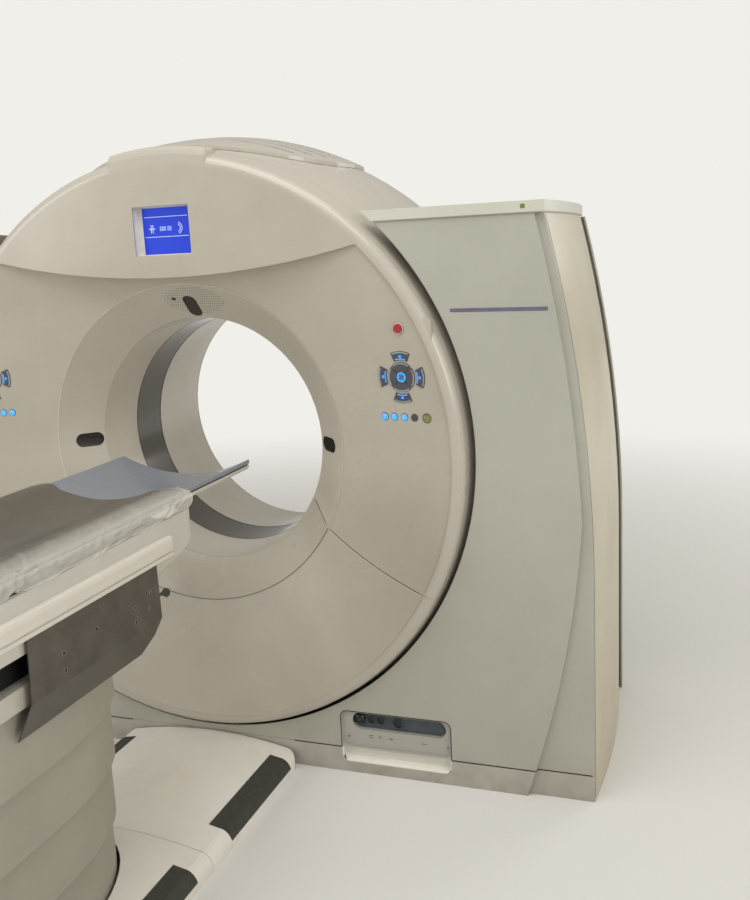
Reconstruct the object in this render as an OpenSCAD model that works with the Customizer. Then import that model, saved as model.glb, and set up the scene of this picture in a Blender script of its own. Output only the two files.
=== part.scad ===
// Computed tomography scanner: a tilting ring gantry between two stands, with its patient table.
// The origin is on the floor under the scan centre. +X points right as seen from the table,
// +Y from the table into the gantry and +Z up. The bore axis is parallel to Y.

/* [Gantry ring] */
// Room between the floor and the ring's swing when it tilts
swing_room = 25.8; // [20:0.1:80]
// Radius of the bore at the scan window
bore_r = 390; // [350:1:395]
// How far the ring's round covers sit below the bore axis
ring_drop = 15; // [0:1:18]
// Radius of the ring's front edge, where the face turns into the rounded rim
edge_r = 868; // [855:1:872]
// Radius at which the dished face would meet the front plane
dish_r = 882; // [878:1:890]
// Half the depth of the ring, from the scan plane to its front face
ring_half_d = 441; // [430:1:445]
// Largest radius of the ring, at the scan plane
shoulder_r = 963; // [958:1:968]
// Radius and depth of the rounded rim
rim_round = 30; // [24:1:34]
// Radius of the crease between the dished face and the funnel
seam_r = 507; // [480:1:530]
// Depth of that crease behind the front face
seam_d = 74; // [50:1:90]
// Radius of the throat, where the funnel ends
throat_r = 396.5; // [396:0.5:410]
// Depth of the throat behind the front face
throat_d = 178; // [160:1:200]
// Radius of the bore's rear rim
rear_bore_r = 433; // [400:1:450]
// Half the width of the clear scan window band
window_half = 77; // [50:1:90]
// Wall of the moulded covers
cover_t = 6; // [4:0.5:8]
// Wall of the tunnel liners
liner_t = 5; // [3:0.5:6]
// Height above the bore axis of the lowest point of the brow
brow_rise = 526; // [512:1:570]
// Radius of the brow's lower edge
brow_r = 2662; // [2200:1:3200]
// Half the width of the flat crest on top of the rim
crest_half_w = 160; // [120:1:200]
// How far the crest stands out over the rim
crest_rise = 23; // [14:1:26]
// Seam between neighbouring covers
seam_gap = 0.6; // [0.3:0.1:0.9]

/* [Display and controls] */
// Width of the display opening
display_w = 188; // [150:1:220]
// Height of the display opening
display_h = 142; // [110:1:160]
// Height of the display's middle above the bore axis
display_rise = 664; // [650:1:690]
// Depth of the screen behind the front face
display_d = 30; // [20:1:40]
// Distance of the key pad's middle from the bore axis, sideways
pad_x = 716; // [690:1:730]
// Height of the key pad's middle above the bore axis
pad_z = 223; // [200:1:240]
// Height of a key above the cover
key_proud = 2.5; // [1.5:0.5:4]
// Radius of the stop button
stop_r = 13; // [10:1:16]
// Travel of the stop button
stop_travel = 4; // [2:0.5:5]

/* [Stand] */
// Half the width of the stand at the scan plane
stand_half_w = 1260; // [1240:1:1300]
// Half the depth of the stand
stand_half_d = 411; // [400:1:420]
// Height of the stand with its caps
stand_h = 1712; // [1650:1:1760]
// Height of a cap
cap_h = 33; // [25:1:40]
// How far a cap stands out over the covers
cap_lip = 6; // [3:1:10]
// Height of the plinth strip along the floor
plinth_h = 83; // [75:1:90]
// Radius of the side's bow, seen from above
bow_r = 3300; // [3100:50:5000]
// Distance of the side's widest place in front of the scan plane
bow_shift = 60; // [0:5:80]
// Radius of the side's lean, seen from the front
lean_r = 4400; // [3800:50:6000]
// Height at which the side starts to lean in
lean_from = 650; // [500:10:800]
// How far the strip along the front's outer edge is set back
strip_setback = 15; // [8:1:20]
// Running gap between the ring's swing and the stand's pocket
swing_gap = 8; // [7:1:12]

/* [Frame and rotor] */
// Thickness of the floor frame's plate
floor_t = 12; // [10:1:14]
// Radius of the tilt trunnions
trunnion_r = 45; // [35:1:55]
// Outer radius of the tilt bearings
tilt_bearing_r = 80; // [70:1:90]
// Distance of the uprights' inner face from the middle
upright_x = 1030; // [1025:1:1040]
// Width of an upright
upright_w = 130; // [110:1:140]
// Inner radius of the large rotor bearing
bearing_in_r = 480; // [470:1:500]
// Outer radius of the large rotor bearing
bearing_out_r = 545; // [530:1:560]
// Outer radius of the rotor drum
rotor_r = 850; // [820:1:856]

/* [Table] */
// Half the width of the table top
top_half_w = 220; // [200:1:225]
// Height of the table top's edges
top_edge_h = 1003; // [990:1:1020]
// Depth of the table top's hollow
top_sag = 50; // [35:1:55]
// Thickness of the table top
top_t = 25; // [20:1:28]
// Length of the table top
top_len = 2500; // [2300:10:2600]
// Distance of the table top's gantry end from the scan plane
top_end = 425; // [415:1:460]
// Length of the table top that the mattress leaves bare
bare_len = 386; // [350:1:420]
// Half the width of the bed frame
bed_half_w = 255; // [248:1:270]
// Height of the table top's edges above the bed frame
bed_drop = 39; // [34:1:50]
// Height of the bed frame
bed_h = 124; // [110:1:140]
// Length of the bed frame
bed_len = 2150; // [2000:10:2250]
// Distance of the bed's nose from the scan plane
nose_y = 806; // [780:1:830]
// Height of the drive bay below the bed frame
bay_h = 68; // [50:1:80]
// Thickness of the lift platform
platform_t = 47; // [30:1:55]

/* [Column] */
// Half the width of the top column cover
column_half_w = 224; // [215:1:225]
// Length of the rounded end of the top column cover
column_nose = 420; // [300:10:450]
// Straight length of the column covers
column_straight = 500; // [400:10:700]
// Distance of the column's front from the scan plane
column_front = 1001; // [990:1:1060]
// How much each column cover is smaller all round than the one above it
column_step = 14; // [10:1:16]
// Wall of the column covers
column_t = 3; // [2:0.5:4]
// Travel of the table's lift
lift_travel = 420; // [300:30:420]

/* [Floor plates] */
// Half the width of the floor plates
plate_half_w = 316; // [300:1:330]
// Height of the floor plates' crown
plate_h = 84; // [75:1:84]
// Length of the floor plate next to the gantry
plate_front_len = 570; // [500:10:600]
// Length of the floor plate round the column
plate_rear_len = 1530; // [1500:10:1600]
// Length of a tread strip
strip_len = 396; // [300:1:420]

/* [Hidden] */
$fn = 96;

fit = 0.3;
far = 3000;
cover_white = [0.80, 0.77, 0.70];
stand_white = [0.74, 0.74, 0.68];
side_cream = [0.80, 0.76, 0.62];
steel = [0.55, 0.57, 0.60];
dark = [0.18, 0.18, 0.19];

// Ring form
rim_y = ring_half_d - rim_round;
rim_r = edge_r + rim_round;
swing_r = norm([rim_r + ring_drop, rim_y]);
axis_h = swing_r + swing_room;
ring_h = axis_h - ring_drop;
join_y = rim_y - 45;
seam_y = ring_half_d - seam_d;
throat_y = ring_half_d - throat_d;
pocket_r = swing_r + swing_gap;
brow_centre_h = axis_h + brow_rise + brow_r;
display_z = axis_h + display_rise;
dish_slope = atan((ring_half_d - seam_y) / (dish_r - seam_r));
funnel_slope = atan((seam_y - throat_y) / (seam_r - throat_r));
split_r = 1166;
split_x = 1146;
split_z = 685;
split_top = 177;

// Stand form
stand_top = stand_h - cap_h;
bow_x = bow_r - stand_half_w;
bow_a = asin((stand_half_d + bow_shift + 30) / (bow_x - 200));
bow_drop = bow_r - sqrt(bow_r * bow_r - pow(stand_half_d - bow_shift, 2));
panel_y = stand_half_d - strip_setback - 8;
crease_r = 3342;
crease_x = stand_half_w - bow_drop - 19 - crease_r;
crease_z = axis_h + 34;
band_w = 22;

// Socket recess in the right stand
socket_x = 464;
socket_w = 356;
socket_low = 35;
socket_high = 206;
socket_d = 25;
socket_corner = 24;

// Frame
beam_z = 70;
beam_w = 40;
base_half_d = stand_half_d - 26;
base_half_w = 1200;
upright_foot = 330;
upright_kink = 400;
upright_head = 140;
upright_top = axis_h + 223;
anchor_r = 9;
anchor_x = 920;
anchor_y = 300;
frame_y = 190;
frame_t = 25;
arm_x = rotor_r + 22;
arm_t = 58;
rotor_y = 100;
rotor_t = 20;
tube_r = 95;
tube_centre = rotor_r - tube_r - 55;

// Table
hollow_r = (top_half_w * top_half_w + top_sag * top_sag) / (2 * top_sag);
hollow_z = top_edge_h - top_sag + hollow_r;
hollow_a = asin(top_half_w / hollow_r);
bed_top_h = top_edge_h - bed_drop;
bed_low_h = bed_top_h - bed_h;
platform_h = bed_low_h - bay_h - platform_t;
keel_half_w = 130;
keel_low = top_edge_h - top_sag - top_t - 3;
bed_end = nose_y + bed_len;
top_back = top_end + top_len;
mattress_front = top_end + bare_len;
column_mid = column_front + column_nose + column_straight / 2;
lift_step = lift_travel / 3;
cover_overlap = 15;
bridge_t = 5;
first_cover_h = plate_h + lift_step + cover_overlap + 1;
cover_rise = (platform_h - first_cover_h) / 3;
cover_high = [for (i = [0:3]) first_cover_h + i * cover_rise];
cover_low = [for (i = [0:3]) i == 0 ? floor_t : cover_high[i - 1] - cover_overlap];
mast_high = [for (i = [0:3]) cover_high[i] - (i == 1 || i == 2 ? bridge_t : 0)];
mast_low = [for (i = [0:3]) floor_t + i * (lift_step + 13)];
mast_half_w = 130;
mast_half_l = 300;
mast_t = 8;
slide_fit = 0.4;
platform_back = bed_end - 300;
table_anchor_x = 140;
table_anchor_y = [700, 1900];

// Radius of the ring at a distance from the scan plane
function shoulder(y) = shoulder_r - (shoulder_r - rim_r) * pow(abs(y) / rim_y, 1.8);
// How far the stand's side leans in at a height
function lean(z) = z < lean_from ? 0 : lean_r - sqrt(lean_r * lean_r - pow(z - lean_from, 2));
// Depth of the dished face at a radius
function dish_y(r) = ring_half_d - seam_d * (dish_r - r) / (dish_r - seam_r);
// Height of the floor plates' crown at a distance from their middle line
function crown(x) = plate_h - x * x / 2660;

function unit(v) = v / norm(v);
function left_of(v) = [-v[1], v[0]];
// A path's point moved to the left by t, with mitred corners
function moved_left(p, i, t) =
    let (
        last = len(p) - 1,
        into = unit(i > 0 ? p[i] - p[i - 1] : p[1] - p[0]),
        out = unit(i < last ? p[i + 1] - p[i] : p[last] - p[last - 1])
    )
    p[i] + (left_of(into) + left_of(out)) * (t / (1 + into * out));

// A sheet of even thickness t to the left of a path
module sheet_section(path, t) {
    last = len(path) - 1;
    polygon(concat(path, [for (i = [last:-1:0]) moved_left(path, i, t)]));
}

// Turns a section, drawn as radius and depth, round the bore axis
module around_bore() {
    translate([0, 0, axis_h])
        rotate([-90, 0, 0])
            rotate_extrude($fn = 180)
                children();
}

// The same round the middle of the ring's covers
module around_ring() {
    translate([0, 0, -ring_drop])
        around_bore()
            children();
}

// Extrudes a shape seen from the front along Y, from y = from to y = to
module along_y(from, to) {
    translate([0, to, 0])
        rotate([90, 0, 0])
            linear_extrude(to - from)
                children();
}

// Extrudes a shape, drawn as Y and height, along X
module along_x(from, to) {
    translate([from, 0, 0])
        rotate([90, 0, 90])
            linear_extrude(to - from)
                children();
}

// Box from its lowest to its highest corner
module block(low, high) {
    translate(low)
        cube(high - low);
}

module both_sides() {
    children();
    mirror([1, 0, 0])
        children();
}

// Straight slot with round ends, along its X
module slot_shape(length, width) {
    square([length - width, width], center = true);
    for (side = [-1, 1])
        translate([side * (length - width) / 2, 0])
            circle(width / 2, $fn = 32);
}

// Front view of the rounded rectangle
module rounded_box_shape(x, z, w, h, r) {
    translate([x + r, z])
        square([w - 2 * r, h]);
    translate([x, z + r])
        square([w, h - 2 * r]);
    for (cx = [x + r, x + w - r], cz = [z + r, z + h - r])
        translate([cx, cz])
            circle(r, $fn = 32);
}

// Sections of the ring's covers, as radius and depth
edge_band = 8;
rim_arc = [
    for (a = [15:15:90]) [edge_r + rim_round * sin(a), -rim_y - rim_round * cos(a)]
];
rim_run = [
    for (i = [1:3]) let (y = rim_y - i * (rim_y - join_y) / 3) [shoulder(y), -y]
];
rim_path = concat(
    [[edge_r - edge_band, -ring_half_d], [edge_r, -ring_half_d]], rim_arc, rim_run
);
dish_path = [
    [throat_r, -throat_y + 5], [throat_r, -throat_y], [seam_r, -seam_y],
    [dish_r + 30, -dish_y(dish_r + 30)]
];
lip_path = [
    [rear_bore_r, -ring_half_d + 16], [rear_bore_r, -ring_half_d + 10],
    [rear_bore_r + 10, -ring_half_d], [rear_bore_r + 20, -ring_half_d]
];
mantle_y = join_y - seam_gap;
mantle_path = [
    for (i = [0:11]) let (y = mantle_y * (i / 5.5 - 1)) [shoulder(y), y]
];

// The brow's outline: the part of the front face above the curved ledge
module brow_shape(inset) {
    intersection() {
        translate([0, ring_h])
            circle(edge_r - inset, $fn = 180);
        translate([0, brow_centre_h])
            circle(brow_r - inset, $fn = 180);
    }
}

// What belongs to the lower front cover, seen from the front
module lower_shape(gap) {
    difference() {
        translate([-far / 2, axis_h - far])
            square([far, far - split_top]);
        for (side = [-1, 1])
            translate([side * split_x, axis_h + split_z])
                circle(split_r + gap, $fn = 180);
    }
}

// Puts a piece at the middle of a key pad, with its Z out of the dished face
module at_pad() {
    pad_a = atan2(pad_z, pad_x);
    pad_r = norm([pad_x, pad_z]);
    translate([0, 0, axis_h])
        rotate([0, -pad_a, 0])
            translate([pad_r, -dish_y(pad_r), 0])
                rotate([90, 0, 0])
                    rotate([0, -dish_slope, 0])
                        rotate([0, 0, -pad_a])
                            children();
}

// Puts a piece on the funnel at an angle round the bore, with its Z out of the surface
module on_funnel(angle) {
    translate([0, 0, axis_h])
        rotate([0, -angle, 0])
            translate([(seam_r + 2 * throat_r) / 3, -(seam_y + 2 * throat_y) / 3, 0])
                rotate([90, 0, 0])
                    rotate([0, -funnel_slope, 0])
                        children();
}

laser_angles = [0, 90, 180];
laser_len = 92;
laser_w = 46;

// The rounded rim, and the dished face with the funnel, as one shell
module front_shell() {
    around_ring() {
        sheet_section(rim_path, cover_t);
        translate([edge_r - edge_band, -ring_half_d])
            square([edge_band, 2 * cover_t]);
    }
    intersection() {
        around_bore() sheet_section(dish_path, cover_t);
        along_y(-ring_half_d, 0)
            translate([0, ring_h])
                circle(edge_r - 1, $fn = 180);
    }
}

// Section of what lies inside the crease between the dished face and the funnel, grown by g
module funnel_zone(g) {
    polygon([
        moved_left(dish_path, 2, -20) + [g, 0], moved_left(dish_path, 2, 20) + [g, 0],
        [throat_r - 30, -throat_y + 40], [throat_r - 30, -seam_y]
    ]);
}

module front_cover() {
    color(cover_white)
        difference() {
            union() {
                difference() {
                    front_shell();
                    around_bore() funnel_zone(fit);
                    along_y(-far, 0) brow_shape(cover_t);
                }
                along_y(-ring_half_d, -ring_half_d + cover_t) brow_shape(0);
                intersection() {
                    along_y(-ring_half_d, 0)
                        difference() {
                            brow_shape(0);
                            brow_shape(cover_t);
                        }
                    around_bore() ledge_space();
                }
                intersection() {
                    around_ring() crest_section();
                    block([-crest_half_w, -far, axis_h], [crest_half_w, 0, far]);
                }
                both_sides() at_pad() pad_boss();
            }
            along_y(-far, 0) lower_shape(-seam_gap);
            block([-display_w / 2, -far, display_z - display_h / 2],
                  [display_w / 2, 0, display_z + display_h / 2]);
            both_sides() at_pad() pad_pockets();
        }
}

// The space that the ledge under the brow may fill: from the front face to the dish's back
module ledge_space() {
    polygon([
        [seam_r + 5, -ring_half_d], [dish_r, -ring_half_d],
        [dish_r, -ring_half_d + cover_t], [seam_r + 5, -seam_y + cover_t]
    ]);
}

// The crest stands out over the rim at the top, with a flat face and a rounded back
module crest_section() {
    top = rim_r + crest_rise;
    join_r = shoulder(join_y);
    polygon([
        [edge_r - 10, -ring_half_d], [top - 26, -ring_half_d], [top - 13, -ring_half_d + 4],
        [top - 3, -ring_half_d + 15], [top, -rim_y], [top - 3, -rim_y + 26],
        [join_r + 2, -join_y], [join_r - cover_t, -join_y], [rim_r - cover_t, -rim_y + 4],
        [edge_r - 10, -ring_half_d + cover_t]
    ]);
}

module lower_front_cover() {
    color(cover_white)
        intersection() {
            front_shell();
            along_y(-far, 0) lower_shape(0);
        }
}

// The liner, with the part of the funnel above the lower cover
module front_tunnel() {
    color(cover_white) {
        around_bore()
            sheet_section([[bore_r, -window_half], [throat_r, -throat_y + 5]], liner_t);
        difference() {
            around_bore()
                intersection() {
                    sheet_section(dish_path, cover_t);
                    funnel_zone(0);
                }
            along_y(-far, 0) lower_shape(-seam_gap);
            for (angle = laser_angles)
                on_funnel(angle)
                    translate([0, 0, -20])
                        linear_extrude(40)
                            slot_shape(laser_len, laser_w);
        }
    }
}

module scan_window() {
    color([0.45, 0.38, 0.30])
        around_bore()
            translate([bore_r, -window_half + seam_gap])
                square([3, 2 * (window_half - seam_gap)]);
}

module rear_tunnel() {
    color(cover_white)
        around_bore()
            sheet_section([[rear_bore_r, ring_half_d - 16], [bore_r, window_half]], liner_t);
}

module rear_cover() {
    color(cover_white)
        mirror([0, 1, 0]) {
            around_ring() sheet_section(rim_path, cover_t);
            around_bore() sheet_section(lip_path, cover_t);
            along_y(-ring_half_d, -ring_half_d + cover_t)
                difference() {
                    translate([0, ring_h])
                        circle(edge_r - 1, $fn = 180);
                    translate([0, axis_h])
                        circle(rear_bore_r + 15, $fn = 180);
                }
        }
}

vent_half_x = 455;
vent_half_y = 345;
vent_slots = 9;
vent_pitch = 56;
vent_slot_w = 16;

// Half the vent's length at a distance from the scan plane
function vent_reach(y) = vent_half_x * pow(1 - pow(abs(y) / vent_half_y, 2.5), 1 / 2.5);

module mantle() {
    color(cover_white)
        difference() {
            around_ring() sheet_section(mantle_path, liner_t);
            translate([-far / 2, 0, ring_h])
                rotate([0, 90, 0])
                    cylinder(far, r = trunnion_r + ring_drop + 8);
            vent_slits();
        }
}

// Openings of the vent: straight slits across the top, shorter towards the ends
module vent_slits() {
    for (i = [0:vent_slots - 1]) {
        y = (i - (vent_slots - 1) / 2) * vent_pitch;
        reach = vent_reach(y) - 40;
        block([-reach, y - vent_slot_w / 2, axis_h], [reach, y + vent_slot_w / 2, far]);
    }
}

// Louvred vent lid on top of the mantle
module top_vent() {
    lid_path = [for (p = mantle_path) [p[0] + fit, p[1]]];
    color(cover_white)
        difference() {
            intersection() {
                around_ring() sheet_section(lid_path, -11);
                translate([0, 0, axis_h])
                    linear_extrude(far)
                        polygon([
                            for (i = [0:47])
                                let (c = cos(i * 7.5), s = sin(i * 7.5))
                                [
                                    vent_half_x * sign(c) * pow(abs(c), 0.8),
                                    vent_half_y * sign(s) * pow(abs(s), 0.8)
                                ]
                        ]);
            }
            vent_slits();
        }
}

bezel_flange = 5;
screen_w = display_w - 28;
screen_h = display_h - 6;

module display_bezel() {
    front = -ring_half_d + cover_t;
    back = -ring_half_d + display_d + 8;
    color([0.9, 0.89, 0.86])
        difference() {
            block([-display_w / 2 - bezel_flange, front, display_z - display_h / 2 - bezel_flange],
                  [display_w / 2 + bezel_flange, back, display_z + display_h / 2 + bezel_flange]);
            block([-display_w / 2, front - 1, display_z - display_h / 2],
                  [display_w / 2, back - 8, display_z + display_h / 2]);
            block([-screen_w / 2, front, display_z - screen_h / 2],
                  [screen_w / 2, back + 1, display_z + screen_h / 2]);
        }
}

module display_screen() {
    front = -ring_half_d + display_d;
    color([0.1, 0.2, 0.8])
        block([-screen_w / 2 + fit, front, display_z - screen_h / 2 + fit],
              [screen_w / 2 - fit, front + 8, display_z + screen_h / 2 - fit]);
}

module laser_windows() {
    color(dark)
        for (angle = laser_angles)
            on_funnel(angle)
                translate([0, 0, -cover_t])
                    linear_extrude(4)
                        slot_shape(laser_len - 2 * fit, laser_w - 2 * fit);
}

key_r = 11;
lamp_r = 14;
key_row = -116;
key_places = [-62, -31, 2, 34];
lamp_place = 73;
stop_place = 138;
centre_key_r = 15;
ring_in_r = 17.5;
ring_out_r = 42;
outer_in_r = 49;
outer_out_r = 73;
outer_half_a = 24;
ring_half_a = 42.5;
key_gap = 0.4;
key_depth = 5;
stop_depth = 10;
collar_r = stop_r + 5;

// A key that is a piece of a ring, pointing to +X, grown all round by g
module ring_key_shape(in_r, out_r, half_a, g) {
    apex = -g / sin(half_a);
    reach = 2 * out_r;
    intersection() {
        difference() {
            circle(out_r + g, $fn = 64);
            circle(in_r - g, $fn = 64);
        }
        polygon([
            [apex, 0], [apex + reach * cos(half_a), reach * sin(half_a)],
            [apex + 2 * reach, 0], [apex + reach * cos(half_a), -reach * sin(half_a)]
        ]);
    }
}

// All fixed keys of a pad, grown all round by g
module key_shapes(g) {
    circle(centre_key_r + g, $fn = 48);
    for (a = [0:90:270])
        rotate(a) {
            ring_key_shape(ring_in_r, ring_out_r, ring_half_a, g);
            ring_key_shape(outer_in_r, outer_out_r, outer_half_a, g);
        }
    for (x = key_places)
        translate([x, key_row])
            circle(key_r + g, $fn = 32);
    translate([lamp_place, key_row])
        circle(lamp_r + g, $fn = 32);
}

// Thick pad behind the cover that carries the keys
module pad_boss() {
    translate([-90, key_row - 24, -18])
        cube([190, stop_place - key_row + 50, 16]);
}

module pad_pockets() {
    translate([0, 0, -key_depth])
        linear_extrude(4 * key_depth)
            key_shapes(key_gap);
    translate([0, stop_place, -stop_depth])
        cylinder(4 * stop_depth, r = stop_r + key_gap, $fn = 48);
    translate([0, stop_place, -key_depth])
        cylinder(4 * key_depth, r = collar_r + key_gap, $fn = 48);
}

module keypad() {
    at_pad() {
        translate([0, 0, -key_depth])
            linear_extrude(key_depth + key_proud)
                key_shapes(0);
        translate([0, stop_place, -key_depth])
            linear_extrude(key_depth + key_proud)
                difference() {
                    circle(collar_r, $fn = 48);
                    circle(stop_r + key_gap, $fn = 48);
                }
    }
}

module keypad_left() {
    color([0.35, 0.33, 0.36]) mirror([1, 0, 0]) keypad();
}

module keypad_right() {
    color([0.35, 0.33, 0.36]) keypad();
}

// The stop button stands above its collar by its travel and has its spring room below
module stop_button() {
    at_pad()
        translate([0, stop_place, -stop_depth + stop_travel + 0.5])
            cylinder(stop_depth + key_proud + 1.5, r = stop_r, $fn = 48);
}

module stop_button_left() {
    color([0.75, 0.1, 0.12]) mirror([1, 0, 0]) stop_button();
}

module stop_button_right() {
    color([0.75, 0.1, 0.12]) stop_button();
}

module tilt_frame() {
    plate_r = shoulder(frame_y + frame_t) - liner_t - 2 * fit;
    color(steel)
        difference() {
            union() {
                along_y(frame_y, frame_y + frame_t)
                    difference() {
                        translate([0, ring_h])
                            circle(plate_r, $fn = 180);
                        translate([0, axis_h])
                            circle(bearing_in_r, $fn = 180);
                    }
                both_sides()
                    block([arm_x, -70, axis_h - 110], [arm_x + arm_t, frame_y, axis_h + 110]);
            }
            for (a = [22.5:45:360])
                translate([0, 0, axis_h])
                    rotate([0, a, 0])
                        translate([(bearing_out_r + arm_x + arm_t) / 2 - 10, far / 2, 0])
                            rotate([90, 0, 0])
                                cylinder(far, r = 60, $fn = 48);
        }
}

module trunnion_pins() {
    color(steel)
        both_sides()
            translate([arm_x + arm_t, 0, axis_h])
                rotate([0, 90, 0])
                    cylinder(upright_x + upright_w - 50 - arm_x - arm_t, r = trunnion_r, $fn = 64);
}

module main_bearing() {
    color([0.7, 0.71, 0.73])
        around_bore()
            translate([bearing_in_r, frame_y - 40])
                square([bearing_out_r - bearing_in_r, 40]);
}

module rotor_drum() {
    hub_r = bearing_in_r - fit;
    color([0.66, 0.67, 0.69])
        difference() {
            around_bore() {
                translate([hub_r - 50, rotor_y])
                    square([rotor_r - hub_r + 50, rotor_t]);
                translate([hub_r - 50, rotor_y])
                    square([50, frame_y - rotor_y - 4]);
                translate([rotor_r - 12, -150])
                    square([12, 150 + rotor_y + rotor_t]);
            }
            for (a = [45:90:315])
                translate([0, 0, axis_h])
                    rotate([0, a, 0])
                        translate([(bearing_in_r + rotor_r) / 2, far / 2, 0])
                            rotate([90, 0, 0])
                                cylinder(far, r = 70, $fn = 48);
        }
}

module xray_tube() {
    color([0.82, 0.82, 0.80])
        translate([0, rotor_y, axis_h + tube_centre])
            rotate([90, 0, 0]) {
                cylinder(rotor_y + 150, r = tube_r, $fn = 64);
                translate([0, 0, rotor_y + 150])
                    cylinder(22, r = tube_r - 25, $fn = 64);
            }
}

module collimator() {
    color(dark)
        difference() {
            block([-80, -45, axis_h + tube_centre - tube_r - 95],
                  [80, rotor_y, axis_h + tube_centre - tube_r - fit]);
            block([-55, -12, axis_h], [55, 12, axis_h + tube_centre - tube_r - 20]);
        }
}

module detector_arc() {
    focus = tube_centre - 100;
    reach = focus + 440;
    color([0.4, 0.42, 0.45])
        along_y(-45, rotor_y)
            translate([0, axis_h + focus])
                intersection() {
                    difference() {
                        circle(reach + 75, $fn = 180);
                        circle(reach, $fn = 180);
                    }
                    polygon([[0, 0], [-far * tan(26), -far], [far * tan(26), -far]]);
                }
}

module power_units() {
    color([0.5, 0.5, 0.47])
        both_sides()
            block([rotor_r - 290, -140, axis_h - 150], [rotor_r - 60, rotor_y, axis_h + 150]);
}

module slip_ring() {
    color([0.72, 0.58, 0.32])
        around_bore()
            translate([bearing_out_r + 55, rotor_y + rotor_t])
                square([95, 24]);
}

// Solid inside the bowed and leaning side surface, moved in by d, from z = low to z = high
module side_body(d, low, high) {
    steps = 10;
    translate([-bow_x, -bow_shift, 0])
        rotate([0, 0, -bow_a])
            rotate_extrude(angle = 2 * bow_a, $fn = 900)
                polygon(concat(
                    [[bow_x - 200, low], [bow_r - lean(low) - d, low]],
                    high > lean_from && low < lean_from ? [
                        for (i = [0:steps])
                            let (z = lean_from + (high - lean_from) * i / steps)
                            [bow_r - lean(z) - d, z]
                    ] : [[bow_r - lean(high) - d, high]],
                    [[bow_x - 200, high]]
                ));
}

// Front view of the raised part of the stand's face, inboard of the set-back strip
module raised_face_shape(d) {
    edge = stand_half_w - bow_drop - band_w - d;
    intersection() {
        translate([crease_x, crease_z])
            circle(crease_r - d, $fn = 180);
        polygon(concat(
            [[-10, -10], [edge, -10]],
            [for (z = [lean_from:130:stand_h + 130]) [edge - lean(z), z]],
            [[-10, stand_h + 130]]
        ));
    }
}

// The right stand's outer form moved in by d, with or without the set-back strip
module stand_body(d, low, high, strip) {
    difference() {
        intersection() {
            side_body(d, low, high);
            block([0, -stand_half_d + d, low - 1], [far, stand_half_d - d, high + 1]);
        }
        translate([0, 0, axis_h])
            sphere(pocket_r + d, $fn = 180);
        if (strip)
            difference() {
                block([0, -far, -1], [far, -stand_half_d + strip_setback + d, far]);
                along_y(-far, 0) raised_face_shape(d);
            }
    }
}

module stand_skin(low, high, strip) {
    difference() {
        stand_body(0, low, high, strip);
        stand_body(cover_t, low - 1, high + 1, strip);
    }
}

module socket_cut(g) {
    along_y(-far, -stand_half_d + socket_d + 5)
        rounded_box_shape(socket_x - g, socket_low - g, socket_w + 2 * g,
                          socket_high - socket_low + 2 * g, socket_corner);
}

// A front cover: what of the skin lies in front of the side panel's edge
module stand_front() {
    intersection() {
        stand_skin(plinth_h, stand_top, true);
        block([0, -far, plinth_h], [far, -panel_y, stand_top]);
    }
}

module stand_side() {
    difference() {
        intersection() {
            side_body(0, 0, stand_top);
            block([0, -panel_y + 1.2, 0], [far, panel_y - 1.2, stand_top]);
        }
        side_body(cover_t, -1, stand_top + 1);
    }
}

module stand_rear() {
    mirror([0, 1, 0])
        intersection() {
            stand_skin(plinth_h, stand_top, false);
            block([0, -far, plinth_h], [far, -panel_y, stand_top]);
        }
}

// A lid with a rim that rests on the covers, with a shadow gap below its lip
module stand_cap() {
    inner = cover_t + 2;
    difference() {
        union() {
            cap_body(cap_lip, stand_top + 3, stand_h);
            cap_body(-1, stand_top, stand_h);
        }
        cap_body(-inner, stand_top - 1, stand_h - cover_t);
    }
}

// The cap's outline grown by g, cut out along the ring's swing
module cap_body(g, low, high) {
    difference() {
        intersection() {
            translate([-bow_x, -bow_shift, low])
                rotate([0, 0, -bow_a])
                    rotate_extrude(angle = 2 * bow_a, $fn = 900)
                        translate([bow_x - 200, 0])
                            square([stand_half_w + 200 - lean(stand_top) + g, high - low]);
            block([0, -stand_half_d - g, low], [far, stand_half_d + g, high]);
        }
        translate([0, 0, axis_h])
            sphere(pocket_r - min(0, g), $fn = 180);
    }
}

module stand_front_left() {
    color(stand_white) mirror([1, 0, 0]) stand_front();
}

module stand_front_right() {
    color(stand_white)
        difference() {
            stand_front();
            socket_cut(0);
        }
}

module stand_side_left() {
    color(side_cream) mirror([1, 0, 0]) stand_side();
}

module stand_side_right() {
    color(side_cream) stand_side();
}

module stand_rear_left() {
    color(stand_white) mirror([1, 0, 0]) stand_rear();
}

module stand_rear_right() {
    color(stand_white) stand_rear();
}

module stand_cap_left() {
    color(stand_white) mirror([1, 0, 0]) stand_cap();
}

module stand_cap_right() {
    color(stand_white) stand_cap();
}

// Half of a plinth strip, from the middle to the side panel
module plinth_half(strip) {
    difference() {
        intersection() {
            stand_body(0, 0, plinth_h - seam_gap, strip);
            block([0, -far, 0], [far, -panel_y, plinth_h]);
        }
        stand_body(cover_t, -1, plinth_h + 1, strip);
    }
}

module plinth_front() {
    color(stand_white)
        difference() {
            union() both_sides() plinth_half(true);
            socket_cut(0);
            block([-180, -far, -1], [180, 0, floor_t]);
        }
}

module plinth_rear() {
    color(stand_white)
        mirror([0, 1, 0])
            union() both_sides() plinth_half(false);
}

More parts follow.
